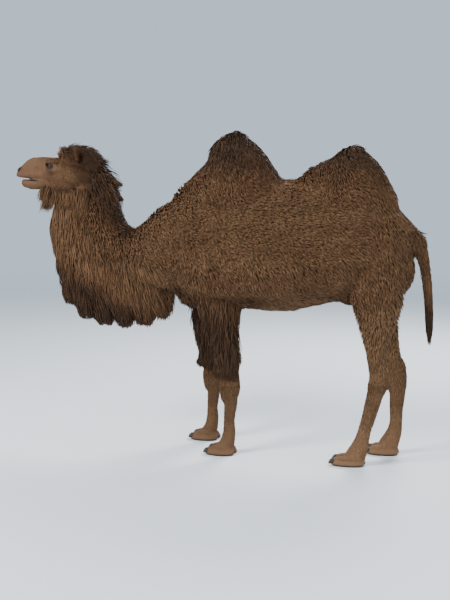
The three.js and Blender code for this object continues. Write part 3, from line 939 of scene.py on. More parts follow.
def strands(name, centres, across, up, widths, thick, roots_at, shade):
    """Locks as closed three-sided solids. centres is (locks, rows, 3), and each lock ends in a point."""
    count, rows = centres.shape[:2]
    rings = rows - 1
    half = widths[:, :rings, None] / 2
    c, a, u = centres[:, :rings], across[:, :rings], up[:, :rings]
    ring = np.stack([c - a * half, c + u * thick[:, :rings, None], c + a * half], 2)
    per = 3 * rings + 1
    co = np.concatenate([ring.reshape(count, 3 * rings, 3), centres[:, rings:]], 1)
    loops, sizes = [0, 1, 2], [3]
    for k in range(rings - 1):
        for j in range(3):
            loops += [3 * k + j, 3 * k + 3 + j, 3 * k + 3 + (j + 1) % 3, 3 * k + (j + 1) % 3]
            sizes.append(4)
    for j in range(3):
        loops += [3 * rings - 3 + j, 3 * rings, 3 * rings - 3 + (j + 1) % 3]
        sizes.append(3)
    loops = np.array(loops)
    t = np.linspace(0, 1, rows)
    at = np.concatenate([np.repeat(t[:rings], 3), t[rings:]])
    every = (loops + per * np.arange(count)[:, None]).ravel()
    thing = mesh_of(name, co.reshape(-1, 3), every, np.tile(sizes, count))
    side = np.concatenate([np.tile([-1.0, 0, 1.0], rings), [0.0]])
    patch = np.stack([side[loops] * 0.0015, (at[loops] - 0.5) * 0.003], 1)
    give_map(thing, root_map(roots_at)[:, None] + patch[None])
    give(
        thing,
        along=np.tile(at, count),
        across=np.tile(side, count),
        rand=np.repeat(RNG.random(count), per),
        tone=np.repeat(np.clip(shade, 0, 1), per),
    )
    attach(thing, "root")
    return thing


TUFT_BOW, TUFT_ROLL, TUFT_TURN, TUFT_THICK = 1.7, 0.6, 0.15, 0.30


def tufts(name, p, n, length, width, lift, rows=3, wave=0.0, flow=None, sink=0.003, hug=True):
    """Short hair: tufts that rise from the skin and lie along it."""
    count = len(p)
    flow = lie(p, n) if flow is None else flow
    each = (np.broadcast_to(v, count) * RNG.uniform(0.75, 1.25, count) for v in (length, width, lift))
    length, width, lift = each
    t = np.linspace(0, 1, rows)
    side = np.cross(n, flow)
    turn = RNG.normal(0, TUFT_TURN, count)[:, None]
    flow = unit(flow + turn * side)
    rise = lift[:, None] * (1 - (1 - t) ** TUFT_BOW) - sink
    centres = p[:, None] + flow[:, None] * (length[:, None] * t)[..., None] + n[:, None] * rise[..., None]
    if wave:
        swing = wave * length[:, None] * np.sin(5 * t + RNG.uniform(0, TURN, count)[:, None]) * t
        centres = centres + side[:, None] * swing[..., None]
    if hug:
        flat = centres.reshape(-1, 3)
        miss = rise.ravel() - SKIN(flat)
        push = np.clip(miss, -0.02, 0.02)[:, None]
        centres = (flat + SKIN.out(flat) * push * np.tile(t, count)[:, None]).reshape(centres.shape)
    roll = RNG.normal(0, TUFT_ROLL, count)[:, None]
    across = np.broadcast_to((side * np.cos(roll) + n * np.sin(roll))[:, None], centres.shape)
    up = np.broadcast_to((n * np.cos(roll) - side * np.sin(roll))[:, None], centres.shape)
    taper = np.array([0.75, 1.0, 0.75, 0.45, 0.2])[: rows] if rows > 3 else np.array([0.85, 0.9, 0])
    widths = width[:, None] * taper
    shade = tone_of(p) + RNG.normal(0, 0.035, count) + 0.05 * waves(p, 0.12, seed=8)
    return strands(name, centres, across, up, widths, widths * TUFT_THICK, p, shade)


LOCK_WAVES, LOCK_ROLL, LOCK_THICK = 1.1, 0.5, 0.32


def hanging(p, n, aim, length, rows, body, curl=0.0, stiff=0.35, out=0.45, layers=(0.25, 1.0)):
    """Centre lines of long locks. They leave the skin, turn to aim, and fill the coat up to its outline."""
    count = len(p)
    length = np.broadcast_to(length, count) * RNG.uniform(0.8, 1.15, count)
    step = (length / (rows - 1))[:, None]
    layer = RNG.uniform(layers[0] ** 1.5, layers[1] ** 1.5, count) ** (1 / 1.5)
    heading = unit(out * n + lie(p, n))
    place = p - 0.004 * n
    path = [place]
    for k in range(1, rows):
        heading = unit(heading * (1 - stiff) + np.broadcast_to(aim, p.shape) * stiff)
        place = place + heading * step
        above, below = body(place), COAT(place)
        room = np.maximum(above - below, 0.006)
        wanted = layer * room * min(1, 1.6 * k / (rows - 1)) - 0.002
        direction = unit(body.out(place) + COAT.out(place))
        push = direction * np.clip(wanted - above, -0.03, 0.03)[:, None]
        push[:, 2] = np.maximum(push[:, 2], -0.01)
        place = place + push
        path.append(place)
    path = np.stack(path, 1)
    for _ in range(2):
        path[:, 1:-1] = 0.25 * path[:, :-2] + 0.5 * path[:, 1:-1] + 0.25 * path[:, 2:]
    frames_of(path, n, curl, LOCK_WAVES)
    return path


def frames_of(path, n, curl, waves_per):
    """Each row's across and up. It lays a sideways wave over the path itself."""
    ahead = np.empty_like(path)
    ahead[:, 1:-1] = path[:, 2:] - path[:, :-2]
    ahead[:, 0], ahead[:, -1] = path[:, 1] - path[:, 0], path[:, -1] - path[:, -2]
    ahead = unit(ahead)
    flat = path.reshape(-1, 3)
    up = COAT.out(flat).reshape(path.shape)
    up = unit(up + 0.3 * n[:, None])
    up = unit(up - (up * ahead).sum(-1, keepdims=True) * ahead)
    across = np.cross(up, ahead)
    t = np.linspace(0, 1, path.shape[1])
    phase = RNG.uniform(0, TURN, len(path))[:, None]
    size = (curl * RNG.uniform(0.5, 1.2, len(path)))[:, None] * np.minimum(1, 2.5 * t)
    path += across * (size * np.sin(phase + TURN * waves_per * t))[..., None]
    path += up * (0.5 * size * np.cos(phase + TURN * waves_per * t))[..., None]
    return across, up


def cut_at_hem(path, reach=0.006):
    """Shortens each lock where it leaves the coat's outline."""
    rows = path.shape[1]
    d = HEM(path.reshape(-1, 3)).reshape(path.shape[:2])
    outside = d > reach
    outside[:, :2] = False
    first = np.where(outside.any(1), outside.argmax(1), rows - 1).astype(float)
    t = np.linspace(0, 1, rows)[None] * first[:, None]
    i = np.minimum(t.astype(int), rows - 2)
    f = (t - i)[..., None]
    rowed = np.arange(len(path))[:, None]
    return path[rowed, i] * (1 - f) + path[rowed, i + 1] * f


def long_hair(name, p, n, length, width, rows=8, hem=True, aim=(0, 0, -1), body=SKIN, **how):
    """A piece of long locks on those roots."""
    path = hanging(p, n, np.array(aim, float), length, rows, body, **how)
    if hem:
        path = cut_at_hem(path)
    across, up = frames_of(path, n, 0.0, 1.0)
    count = len(p)
    t = np.linspace(0, 1, rows)
    width = np.broadcast_to(width, count) * RNG.uniform(0.7, 1.3, count)
    widths = width[:, None] * (0.55 + 0.45 * np.sin(np.pi * np.minimum(1, t * 1.4 + 0.15))) * (1 - t**3)
    roll = RNG.normal(0, LOCK_ROLL, count)[:, None, None]
    a = across * np.cos(roll) + up * np.sin(roll)
    u = up * np.cos(roll) - across * np.sin(roll)
    shade = tone_of(p) + RNG.normal(0, 0.04, count)
    return strands(name, path, a, u, widths, widths * LOCK_THICK, p, shade)


# ------------------------------------------------------------------ where each kind of hair grows
HAIR, SHORT = [], []
TAIL_START = 1.352


def on_left(p):
    """The points with those of the right side laid over to the left."""
    return p * (np.sign(p[:, :1]) * [1, 0, 0] + [0, 1, 1])


def head_part(p):
    return smooth(-0.80, -0.90, p[:, 1]) * smooth(1.60, 1.68, p[:, 2])


def crown_part(p):
    x, y, z = p.T
    under_forelock = smooth(-1.125, -1.10, y) * smooth(-0.74, -0.82, y) * smooth(1.90, 1.935, z)
    return under_forelock * (np.abs(x) < 0.088) * (z < 2.0)


def ear_part(p):
    return (p[:, 2] > EAR_LOW[2] + 0.035) & (np.abs(p[:, 0]) > 0.085) & (np.abs(p[:, 1] + 0.94) < 0.08)


def breech_part(p):
    y, z = p[:, 1], p[:, 2]
    return smooth(0.36, 0.30, y) * smooth(-0.40, -0.34, y) * smooth(1.10, 0.98, z) * smooth(0.575, 0.60, z)


def core_of(name, region, depth_in):
    """The felted underwool of long hair: a closed form well inside the coat's outline, coloured with the
    painted shade of the locks' roots.
    """
    field = np.maximum(ROUND.values + depth_in, region(gx, gy, gz).astype(F32))
    co, faces = surface(field, [line.ravel().astype(float) for line in (gx, gy, gz)])
    co = eased(co, faces, 3)
    thing, normals = quads(name, co, faces)
    give_map(thing, skin_map(co, faces))
    even = np.ones(len(co))
    # along of 0.1 gives the core the hair material's painted shade of the roots, so it reads as the shaded
    # depth of the coat
    give(thing, along=0.1 * even, across=0 * even, rand=0.5 * even, tone=tone_of(co))
    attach(thing, "root")
    HAIR.append(thing)
    return Field(GRID_LOW, STEP, np.minimum(SKIN.values, field)), co, faces, normals


def beard_region(x, y, z):
    """Below and in front of the neck's middle."""
    behind = (y + 0.83) * 0.80 + (z - 1.42) * 0.60
    low_part = (z - 1.30) + 0.12 * (y + 0.6)
    return np.maximum(np.maximum(np.minimum(behind, low_part), y + 0.30), z - 1.66) + 0 * x


# the trunk, humps, neck and thighs
def body_weight(p, n):
    x, y, z = p.T
    bare = smooth(0.0, -0.03, beard_region(x, y, z))
    own = (1 - head_part(p)) * smooth(0.62, 0.70, z) * (y < TAIL_START)
    return own * (1 - breech_part(p)) * (1 - bare)


trunk_p, trunk_n = roots(body_weight, spacing=0.0099)
region = np.select([trunk_p[:, 1] < -0.10, trunk_p[:, 1] < 0.50, trunk_p[:, 1] < 0.93], [0, 1, 2], 3)
for k in range(4):
    own = region == k
    p, n = trunk_p[own], trunk_n[own]
    top = smooth(HUMP_TOPS[1] - 0.32, HUMP_TOPS[1] - 0.05, p[:, 2]) * smooth(-0.5, -0.3, p[:, 1])
    room = np.clip(-COAT(p), 0.010, 0.045)
    length = 0.055 + 0.026 * top + 0.010 * waves(p, 0.4, seed=5)
    HAIR.append(tufts(f"coat_{k + 1}", p, n, length, 0.0115 + 0.004 * top, room, wave=0.05))

# the lower legs and feet
def leg_weight(p, n):
    y, z = p[:, 1], p[:, 2]
    return smooth(0.70, 0.60, z) * (z > 0.045) * (n[:, 2] > -0.6) * (1 - breech_part(p)) * (y < TAIL_START)


p, n = roots(leg_weight, spacing=0.0074)
fine = smooth(0.05, 0.60, p[:, 2])
SHORT.append(tufts(
    "coat_legs", p, n, 0.012 + 0.024 * fine, 0.0032 + 0.0036 * fine, 0.0030 + 0.0050 * fine,
    sink=0.0012, hug=False,
))

# the head: the shortest hair, shorter still on the muzzle
def head_weight(p, n):
    y, z = p[:, 1], p[:, 2]
    lips = smooth(0.010, 0.030, np.abs(z - mouth_line(y)) + 0.6 * smooth(NOSE + 0.16, NOSE + 0.24, y))
    eye = np.linalg.norm(on_left(p) - EYE, axis=1)
    bald = smooth(EYE_R + 0.004, EYE_R + 0.010, eye) * ~ear_part(p)
    return smooth(-0.78, -0.86, y) * smooth(1.60, 1.66, z) * (1 - crown_part(p)) * lips * bald


p, n = roots(head_weight, spacing=0.0058)
far_back = smooth(NOSE + 0.02, NOSE + 0.45, p[:, 1])
SHORT.append(tufts(
    "coat_head", p, n, 0.009 + 0.018 * far_back, 0.0024 + 0.0024 * far_back, 0.0014 + 0.0042 * far_back,
    sink=0.002, hug=False,
))
p, n = roots(lambda p, n: ear_part(p) * 1.0, spacing=0.0036)
up_ear = np.where(p[:, :1] > 0, ear_frame(1)[0], ear_frame(-1)[0])
up_ear = unit(up_ear - (up_ear * n).sum(1, keepdims=True) * n + 0.25 * n)
SHORT.append(tufts(
    "coat_ears", p, n, 0.017, 0.0020, 0.0035, flow=up_ear, sink=0.001, hug=False,
))

# the beard, from the throat to the breast
beard_body, co, faces, facing = core_of("beard_core", beard_region, 0.040)


def beard_weight(p, n):
    return smooth(1.70, 1.62, p[:, 2]) * (ROUND(p) > -0.062) * (n[:, 2] < 0.8)


p, n = roots(beard_weight, spacing=0.0112, co=co, faces=faces, co_normals=facing)
split = p[:, 2] > 1.22
for name, own in (("beard", ~split), ("beard_upper", split)):
    beard = long_hair(
        name, p[own], n[own], 0.19 + 0.05 * waves(p[own], 0.3, seed=6), 0.0175, rows=7,
        body=beard_body, curl=0.007, out=0.45, layers=(0.3, 1.05),
    )
    HAIR.append(beard)
    if name == "beard":
        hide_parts("beard")


def throat_weight(p, n):
    y, z = p[:, 1], p[:, 2]
    return head_part(p) * smooth(1.765, 1.725, z) * smooth(-1.265, -1.235, y) * (n[:, 2] < 0.1)


p, n = roots(throat_weight, spacing=0.0066)
HAIR.append(long_hair(
    "throat", p, n, 0.14, 0.0105,
    body=beard_body, curl=0.004, out=0.6, aim=(0, -0.12, -1), layers=(0.3, 1.1),
))

# the forelock and the mane on the nape
def crown_region(x, y, z):
    box = np.maximum(np.maximum(-(y + 1.085), y + 0.74), np.maximum(1.90 - z, np.abs(x) - 0.075))
    return box


crown_body, co, faces, facing = core_of("forelock_core", crown_region, 0.034)


def forelock_weight(p, n):
    return smooth(1.91, 1.93, p[:, 2]) * (n[:, 2] > -0.3)


p, n = roots(forelock_weight, spacing=0.0053, co=co, faces=faces, co_normals=facing)
HAIR.append(long_hair(
    "forelock", p, n, 0.085, 0.0082,
    body=crown_body, curl=0.005, out=0.6, hem=False, aim=(0, 0.25, -0.6), layers=(0.6, 1.25),
))


def nape_weight(p, n):
    x, y, z = p.T
    return smooth(-0.86, -0.80, y) * smooth(1.50, 1.60, z) * smooth(0.12, 0.06, np.abs(x)) * (n[:, 1] > 0.1)


p, n = roots(nape_weight, spacing=0.0106)
HAIR.append(long_hair(
    "nape", p, n, 0.13, 0.0110, rows=7,
    curl=0.005, out=0.9, hem=False, aim=(0, 0.30, -1), stiff=0.25, layers=(0.5, 1.22),
))

# the points of the mane that stand off the nape, and the lobes that hang from the throat
def point_of_hair(tip, anchor, count, loose, reach=0.045):
    """Locks from the skin round the anchor, drawn together to one tip."""
    gap = np.linalg.norm(skin_co - np.array(anchor), axis=1)
    pick = RNG.choice(np.flatnonzero(gap < gap.min() + reach), count)
    root = skin_co[pick]
    end = tip + RNG.normal(0, loose, (count, 3)) * (2.4, 1, 1)
    end = end + (root - tip) * RNG.uniform(0, 0.25, (count, 1)) ** 1.5
    t = np.linspace(0, 1, 6)[None, :, None]
    bend = root + 0.45 * (end - root) + skin_normals[pick] * 0.020 + np.array([0, 0, 0.012])
    path = (1 - t) ** 2 * root[:, None] + 2 * t * (1 - t) * bend[:, None] + t**2 * end[:, None]
    return path, root, skin_normals[pick]


# each point is its tip, where its locks grow from, how many they are and how loosely they end
POINTS = []
BEHIND_NAPE = HEAD_HIGH[1] + 0.15
# set by trial: the lower point's drop, how far locks reach past a tip, where they grow, and the fillers
LOWER_DROP, PAST_TIP, GROW_FROM = 0.050, [0, 0.016, -0.010], [0.010, -0.044, 0.032]
FILLER_DROP, FILLER_GROW = 0.058, [0.010, -0.030, 0.028]
lower_tip, upper_tip = tips_on(MANE_TREE, HEAD_LOW[2] - 0.13, EYE[2] - 0.02, 1, BEHIND_NAPE)
for tip in (upper_tip, edge(MANE_TREE, lower_tip[2] - LOWER_DROP, 1, BEHIND_NAPE)):
    POINTS.append((tip + PAST_TIP, tip + GROW_FROM, 84, 0.004))
    filler = edge(MANE_TREE, tip[2] - FILLER_DROP, 1, BEHIND_NAPE)
    POINTS.append((filler, filler + FILLER_GROW, 26, 0.006))
THROAT_TIP = tips_on(THROAT_TREE, JAW_LOW[2] - 0.22, JAW_LOW[2] - 0.004, -1, 3)[0]
for side in SIDES.values():
    for z, back, count, loose in ((JAW_LOW[2], 0.052, 90, 0.010), (THROAT_TIP[2], 0.040, 90, 0.012)):
        tip = edge(THROAT_TREE, z, -1) + [side * 0.020, 0.020 * (z < JAW_LOW[2]), 0]
        POINTS.append((tip, [side * 0.020, tip[1] + back, JAW_LOW[2] + 0.075], count, loose))
    forehead = MUZZLE_OF[-1, 0] + MUZZLE_OF[-1, 2]
    for share, count, loose in ((1 / 3, 40, 0.007), (2 / 3, 56, 0.009)):
        tip = edge(HEAD_TREE, forehead + share * (HEAD_HIGH[2] - forehead), -1)
        tip = np.array([side * (0.018 + 0.016 * share), tip[1], tip[2]])
        POINTS.append((tip, [side * 0.020, tip[1] + 0.042, forehead + 0.004], count, loose))
points_of = [point_of_hair(*point) for point in POINTS]
path, root, out = (np.concatenate(v) for v in zip(*points_of))
across, up = frames_of(path, out, np.full(len(path), 0.003), 1.4)
taper = np.array([0.8, 1.0, 0.9, 0.7, 0.45, 0])
widths = RNG.uniform(0.006, 0.010, len(path))[:, None] * taper
HAIR.append(strands(
    "loose_points", path, across, up, widths, widths * 0.35, root, tone_of(root),
))

# the long hair on the upper forelegs
p, n = roots(lambda p, n: breech_part(p), spacing=0.0118)
length = 0.125 + 0.03 * waves(p, 0.2, seed=9)
HAIR.append(long_hair("breeches", p, n, length, 0.0150, rows=7, curl=0.005, out=0.85))

# the tail: its own coat above, and long locks that close to a point below
p, n = roots(lambda p, n: (p[:, 1] > 1.345) * smooth(1.10, 1.18, p[:, 2]), spacing=0.0085)
HAIR.append(tufts("tail_hair", p, n, 0.055, 0.0085, 0.008, rows=4, wave=0.03, hug=False))


def tail_rings():
    """The tail's middle and mean radius at even heights, from its lowest up."""
    on_tail = solid_of(["tail"], 0.006)[1]
    heights = np.linspace(TAIL_LOW[2] + 0.004, 1.34, 30)
    rings = []
    for z in heights:
        own = on_tail[(np.abs(on_tail[:, 2] - z) < 0.012) & (on_tail[:, 1] > 1.36)]
        middle = (own.min(0) + own.max(0)) / 2
        rings.append((0.0, middle[1], (np.ptp(own[:, 0]) + np.ptp(own[:, 1])) / 4))
    return heights, np.array(rings)


heights, rings = tail_rings()
count = 960
top_z = RNG.uniform(0.93, 1.33, count)
end_z = top_z - RNG.uniform(0.13, 0.26, count)
end_z = np.maximum(end_z, TAIL_LOW[2] - 0.006 + 0.14 * RNG.random(count) ** 2)
around = RNG.uniform(0, 2 * math.pi, count)
outward = np.stack([np.cos(around), np.sin(around), 0 * around], 1)
share = RNG.uniform(0.58, 1.08, count)
phase = RNG.uniform(0, TURN, count)
path = []
for t in np.linspace(0, 1, 7):
    z = top_z + (end_z - top_z) * t
    x, y, r = (np.interp(z, heights, rings[:, k]) for k in range(3))
    grown = r * (0.40 + (share - 0.40) * min(1.0, 2.2 * t))
    sway = 0.0045 * np.sin(phase + 6 * t) * t
    path.append(np.stack([x + sway, y + sway[::-1], z], 1) + outward * grown[:, None])
path = np.stack(path, 1)
across = np.broadcast_to(unit(np.cross(outward, [0, 0, -1.0]))[:, None], path.shape)
up = np.broadcast_to(outward[:, None], path.shape)
widths = RNG.uniform(0.0045, 0.009, count)[:, None] * np.array([0.6, 0.9, 1.0, 1.0, 0.8, 0.5, 0])
root = path[:, 0]
HAIR.append(strands(
    "tail_tuft", path, across, up, widths, widths * 0.35, root, tone_of(root),
))


# ------------------------------------------------------------------ eyeballs, lashes and nails
def rounded(name, centre, axes, half, around=48, down=32, shape=None):
    """A smooth closed ball whose poles are on its last axis. shape may bend its unit points first."""
    u = 2 * math.pi * np.arange(around) / around
    v = math.pi * np.arange(1, down) / down
    u, v = u[None], v[:, None]
    ring = np.stack([np.cos(u) * np.sin(v), np.sin(u) * np.sin(v), np.cos(v) + 0 * u], -1).reshape(-1, 3)
    ball = np.concatenate([[[0, 0, 1.0]], ring, [[0, 0, -1.0]]])
    faces = []
    for j in range(around):
        k = (j + 1) % around
        faces.append([0, 1 + j, 1 + k])
        for r in range(1, (down - 2) * around, around):
            faces.append([r + j, r + around + j, r + around + k, r + k])
        last = 1 + (down - 2) * around
        faces.append([last + j, len(ball) - 1, last + k])
    bent = ball if shape is None else shape(ball)
    co = centre + (bent * half) @ np.stack(axes)
    loops = np.array([i for face in faces for i in face])
    thing = mesh_of(name, co, loops, np.array([len(face) for face in faces]))
    flat = np.stack([ball[:, 0], ball[:, 1]], 1) * (1 - 0.45 * np.abs(ball[:, 2:]))
    uv = 0.25 + 0.20 * flat + np.where(ball[:, 2:] < 0, [[0.5, 0.0]], [[0.0, 0.0]])
    give_map(thing, uv[loops])
    return thing, ball


EYEBALLS, HORN = [], []
for side_name, side in SIDES.items():
    a, b, e = eye_axes(side)
    handed = [a, b, e] if np.cross(a, b) @ e > 0 else [-a, b, e]

    def cornea(ball):
        return ball * (1 + 0.035 * smooth(0.80, 0.97, ball[:, 2:]))

    thing, ball = rounded(f"eyeball_{side_name}", EYE * (side, 1, 1), handed, EYE_R - 0.0004, shape=cornea)
    give(thing, level=ball[:, 0] + 2 * (ball[:, 2] < 0), upright=ball[:, 1])
    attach(thing, "root")
    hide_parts(f"eye_{side_name}")
    EYEBALLS.append(thing)

# the lashes of the upper lid, long and drooping
LASHES, LASH_LENGTH = 78, 0.025
lash_paths, lash_roots, lash_out = [], [], []
for side in SIDES.values():
    a, b, e = eye_axes(side)
    s = np.linspace(-0.92, 0.92, LASHES) + RNG.normal(0, 0.012, LASHES)
    qa = LID_LONG * s
    qb = LID_HIGH * (1 - s**2) - LID_DROP + LID_TILT * qa + 0.0008
    reach = EYE_R + 0.0030
    qe = np.sqrt(np.maximum(reach**2 - qa**2 - qb**2, 1e-6))
    root = EYE * (side, 1, 1) + qa[:, None] * a + qb[:, None] * b + qe[:, None] * e
    length = LASH_LENGTH * RNG.uniform(0.8, 1.15, LASHES) * (1 - 0.3 * s**2)
    t = np.linspace(0, 1, 5)[None, :, None]
    away = unit(e + 0.35 * s[:, None] * a + 0.30 * b)[:, None]
    curl = (b + 0.4 * s[:, None] * a)[:, None]
    droop = np.array([0, 0, -1.0])
    bend = away * (0.75 * t) + curl * 0.32 * t**2 + droop * 0.34 * t * (1 - 0.6 * t)
    lash_paths.append(root[:, None] + length[:, None, None] * bend)
    lash_roots.append(root)
    lash_out.append(np.broadcast_to(b, root.shape))
path, root, out = (np.concatenate(v) for v in (lash_paths, lash_roots, lash_out))
ahead = unit(path[:, -1] - path[:, 0])
across = np.broadcast_to(unit(np.cross(out, ahead))[:, None], path.shape)
up = np.broadcast_to(unit(np.cross(ahead, across[:, 0]))[:, None], path.shape)
widths = np.full((len(path), 5), 0.0017) * np.array([1, 1, 0.9, 0.6, 0])
black = np.full(len(path), 0.02)
HAIR.append(strands("lashes", path, across, up, widths, widths * 0.5, root, black))


def nail_shape(ball):
    """A keeled cap, flat below and drawn out to a blunt point in front."""
    keel = 1 - 0.18 * np.abs(ball[:, 0])
    front = np.clip(ball[:, 2], 0, 1) ** 1.5
    return np.stack([
        ball[:, 0] * (1 - 0.38 * front),
        np.maximum(ball[:, 1] * keel * (1 - 0.25 * front) - 0.42 * front, -0.80),
        ball[:, 2],
    ], 1)


for name in NAILS:
    nail_low, nail_high = (np.array(v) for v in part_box(name))
    middle = (nail_low + nail_high) / 2
    tip = np.array([middle[0], nail_low[1], 0.022])
    forward = unit(np.array([0.0, -1.0, -0.22]))
    side_way = np.array([1.0, 0.0, 0.0])
    upward = np.cross(forward, side_way)
    size = np.array([0.5 * (nail_high[0] - nail_low[0]), 0.019, 0.030])
    axes = [side_way, upward, forward]
    thing, ball = rounded(name + "_horn", tip - 0.0285 * forward, axes, size, 28, 18, nail_shape)
    give(thing, along=np.clip(0.5 + 0.5 * ball[:, 2], 0, 1))
    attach(thing, "root")
    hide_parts(name)
    HORN.append(thing)

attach(skin, "root")
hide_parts(*FLESH)

# ------------------------------------------------------------------ camera, lights and floor
# the photograph's own view: turned from the front, looking down, and slid along the picture
AZIMUTH, PITCH = math.radians(108.25), math.radians(7.39)
DISTANCE, HEIGHT, SLIDE, BEHIND_MIDDLE, LENS = 7.0, 1.93, 0.300, 0.3986, 63.92
back = Vector((math.sin(AZIMUTH), -math.cos(AZIMUTH), 0))
right = Vector((-back.y, back.x, 0))
camera_data = bpy.data.cameras.new("camera")
camera_data.lens = LENS
camera_data.sensor_width = 36
camera = bpy.data.objects.new("camera", camera_data)
camera.location = back * DISTANCE - right * SLIDE + Vector((0, BEHIND_MIDDLE, HEIGHT))
forward = -back * math.cos(PITCH) - Vector((0, 0, math.sin(PITCH)))
camera.rotation_euler = forward.to_track_quat("-Z", "Y").to_euler()
bpy.context.scene.collection.objects.link(camera)
bpy.context.scene.camera = camera


BACKGROUND, BRIGHTNESS = (0.66, 0.79, 0.92, 1), 0.95
FLOOR, FADE = (0.66, 0.68, 0.70), (4.5, 13.0)


def floor_material():
    """A pale floor that turns into the background far from the animal, so no horizon shows."""
    made = bpy.data.materials.new("floor")
    made.use_nodes = True
    tree = made.node_tree
    shader, output = tree.nodes["Principled BSDF"], tree.nodes["Material Output"]
    shader.inputs["Base Color"].default_value = (*FLOOR, 1)
    shader.inputs["Roughness"].default_value = 0.9
    place = tree.nodes.new("ShaderNodeTexCoord")
    length = tree.nodes.new("ShaderNodeVectorMath")
    length.operation = "LENGTH"
    fade = tree.nodes.new("ShaderNodeMapRange")
    fade.interpolation_type = "SMOOTHSTEP"
    fade.inputs["From Min"].default_value, fade.inputs["From Max"].default_value = FADE
    glow = tree.nodes.new("ShaderNodeEmission")
    glow.inputs["Color"].default_value = BACKGROUND
    glow.inputs["Strength"].default_value = BRIGHTNESS
    both = tree.nodes.new("ShaderNodeMixShader")
    tree.links.new(place.outputs["Object"], length.inputs[0])
    tree.links.new(length.outputs["Value"], fade.inputs["Value"])
    tree.links.new(fade.outputs["Result"], both.inputs[0])
    tree.links.new(shader.outputs[0], both.inputs[1])
    tree.links.new(glow.outputs[0], both.inputs[2])
    tree.links.new(both.outputs[0], output.inputs["Surface"])
    return made


floor_mesh = bpy.data.meshes.new("floor")
FAR = 30
floor_mesh.from_pydata([(-FAR, -FAR, 0), (FAR, -FAR, 0), (FAR, FAR, 0), (-FAR, FAR, 0)], [], [(0, 1, 2, 3)])
floor = bpy.data.objects.new("floor", floor_mesh)
floor_mesh.materials.append(floor_material())
bpy.context.scene.collection.objects.link(floor)
floor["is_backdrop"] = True


def lamp(name, at, towards, size, power):
    data = bpy.data.lights.new(name, "AREA")
    data.size = size
    data.energy = power
    thing = bpy.data.objects.new(name, data)
    thing.location = at
    thing.rotation_euler = (Vector(towards) - Vector(at)).to_track_quat("-Z", "Y").to_euler()
    bpy.context.scene.collection.objects.link(thing)


lamp("key", (4.6, -3.4, 5.2), (0, 0, 1.2), 2.6, 760)
lamp("fill", (4.2, 4.6, 2.6), (0, 0, 1.0), 4.0, 230)
lamp("rim", (-4.6, 1.4, 5.0), (0, 0, 1.4), 2.6, 560)
world = bpy.data.worlds.new("world")
world.use_nodes = True
world.node_tree.nodes["Background"].inputs["Color"].default_value = BACKGROUND
world.node_tree.nodes["Background"].inputs["Strength"].default_value = BRIGHTNESS
bpy.context.scene.world = world


# ------------------------------------------------------------------ materials
DARK, MIDDLE, PALE = (0.022, 0.0105, 0.0052), (0.092, 0.043, 0.0185), (0.215, 0.118, 0.057)


class Nodes:
    """Short words for building a shader."""

    def __init__(self, name):
        self.made = bpy.data.materials.new(name)
        self.made.use_nodes = True
        self.tree = self.made.node_tree
        self.shader = self.tree.nodes["Principled BSDF"]

    def add(self, kind, **settings):
        node = self.tree.nodes.new(kind)
        for key, value in settings.items():
            setattr(node, key, value)
        return node

    def put(self, socket, value):
        if isinstance(value, bpy.types.NodeSocket):
            self.tree.links.new(value, socket)
        else:
            socket.default_value = value

    def number(self, name):
        return self.add("ShaderNodeAttribute", attribute_name=name).outputs["Fac"]

    def math(self, operation, *values):
        node = self.add("ShaderNodeMath", operation=operation)
        for socket, value in zip(node.inputs, values):
            self.put(socket, value)
        return node.outputs[0]

    def times(self, a, b):
        return self.math("MULTIPLY", a, b)

    def plus(self, a, b):
        return self.math("ADD", a, b)

    def object_place(self):
        return self.add("ShaderNodeTexCoord").outputs["Object"]

    def radius(self, a, b):
        return self.math("SQRT", self.plus(self.times(a, a), self.times(b, b)))

    def grey(self, value, *stops):
        return self.ramp(value, stops, colors=False)

    def ramp(self, value, stops, colors=True):
        node = self.add("ShaderNodeValToRGB")
        steps = node.color_ramp.elements
        while len(steps) < len(stops):
            steps.new(0.5)
        for step, (at, color) in zip(steps, stops):
            step.position = at
            step.color = (*color, 1) if colors else (color, color, color, 1)
        self.put(node.inputs[0], value)
        return node.outputs[0]

    def blend(self, share, a, b, mode="MIX"):
        node = self.add("ShaderNodeMix", data_type="RGBA", blend_type=mode)
        sockets = [s for s in node.inputs if s.type == "RGBA"]
        self.put(node.inputs[0], share)
        self.put(sockets[0], a)
        self.put(sockets[1], b)
        return next(s for s in node.outputs if s.type == "RGBA")

    def noise(self, vector, scale, detail=3.0, rough=0.55):
        node = self.add("ShaderNodeTexNoise")
        self.put(node.inputs["Scale"], scale)
        self.put(node.inputs["Detail"], detail)
        self.put(node.inputs["Roughness"], rough)
        if vector is not None:
            self.put(node.inputs["Vector"], vector)
        return node.outputs["Fac"]

    def bump(self, height, strength, distance):
        node = self.add("ShaderNodeBump")
        self.put(node.inputs["Strength"], strength)
        self.put(node.inputs["Distance"], distance)
        self.put(node.inputs["Height"], height)
        self.put(self.shader.inputs["Normal"], node.outputs["Normal"])

    def finish(self, color, roughness, sheen=0.0, tint=(1, 1, 1), gloss=0.5):
        self.put(self.shader.inputs["Base Color"], color)
        self.put(self.shader.inputs["Roughness"], roughness)
        self.shader.inputs["Sheen Weight"].default_value = sheen
        self.shader.inputs["Sheen Roughness"].default_value = 0.5
        self.shader.inputs["Sheen Tint"].default_value = (*tint, 1)
        self.shader.inputs["Specular IOR Level"].default_value = gloss
        return self.made


def wool(nodes):
    """The coat's colour from the markings, with soft patches."""
    place = nodes.object_place()
    patches = nodes.noise(place, 5.0, 4.0)
    tone = nodes.number("tone")
    tone = nodes.plus(tone, nodes.times(nodes.math("SUBTRACT", patches, 0.5), 0.30))
    return nodes.ramp(tone, [(0.05, DARK), (0.50, MIDDLE), (1.0, PALE)])


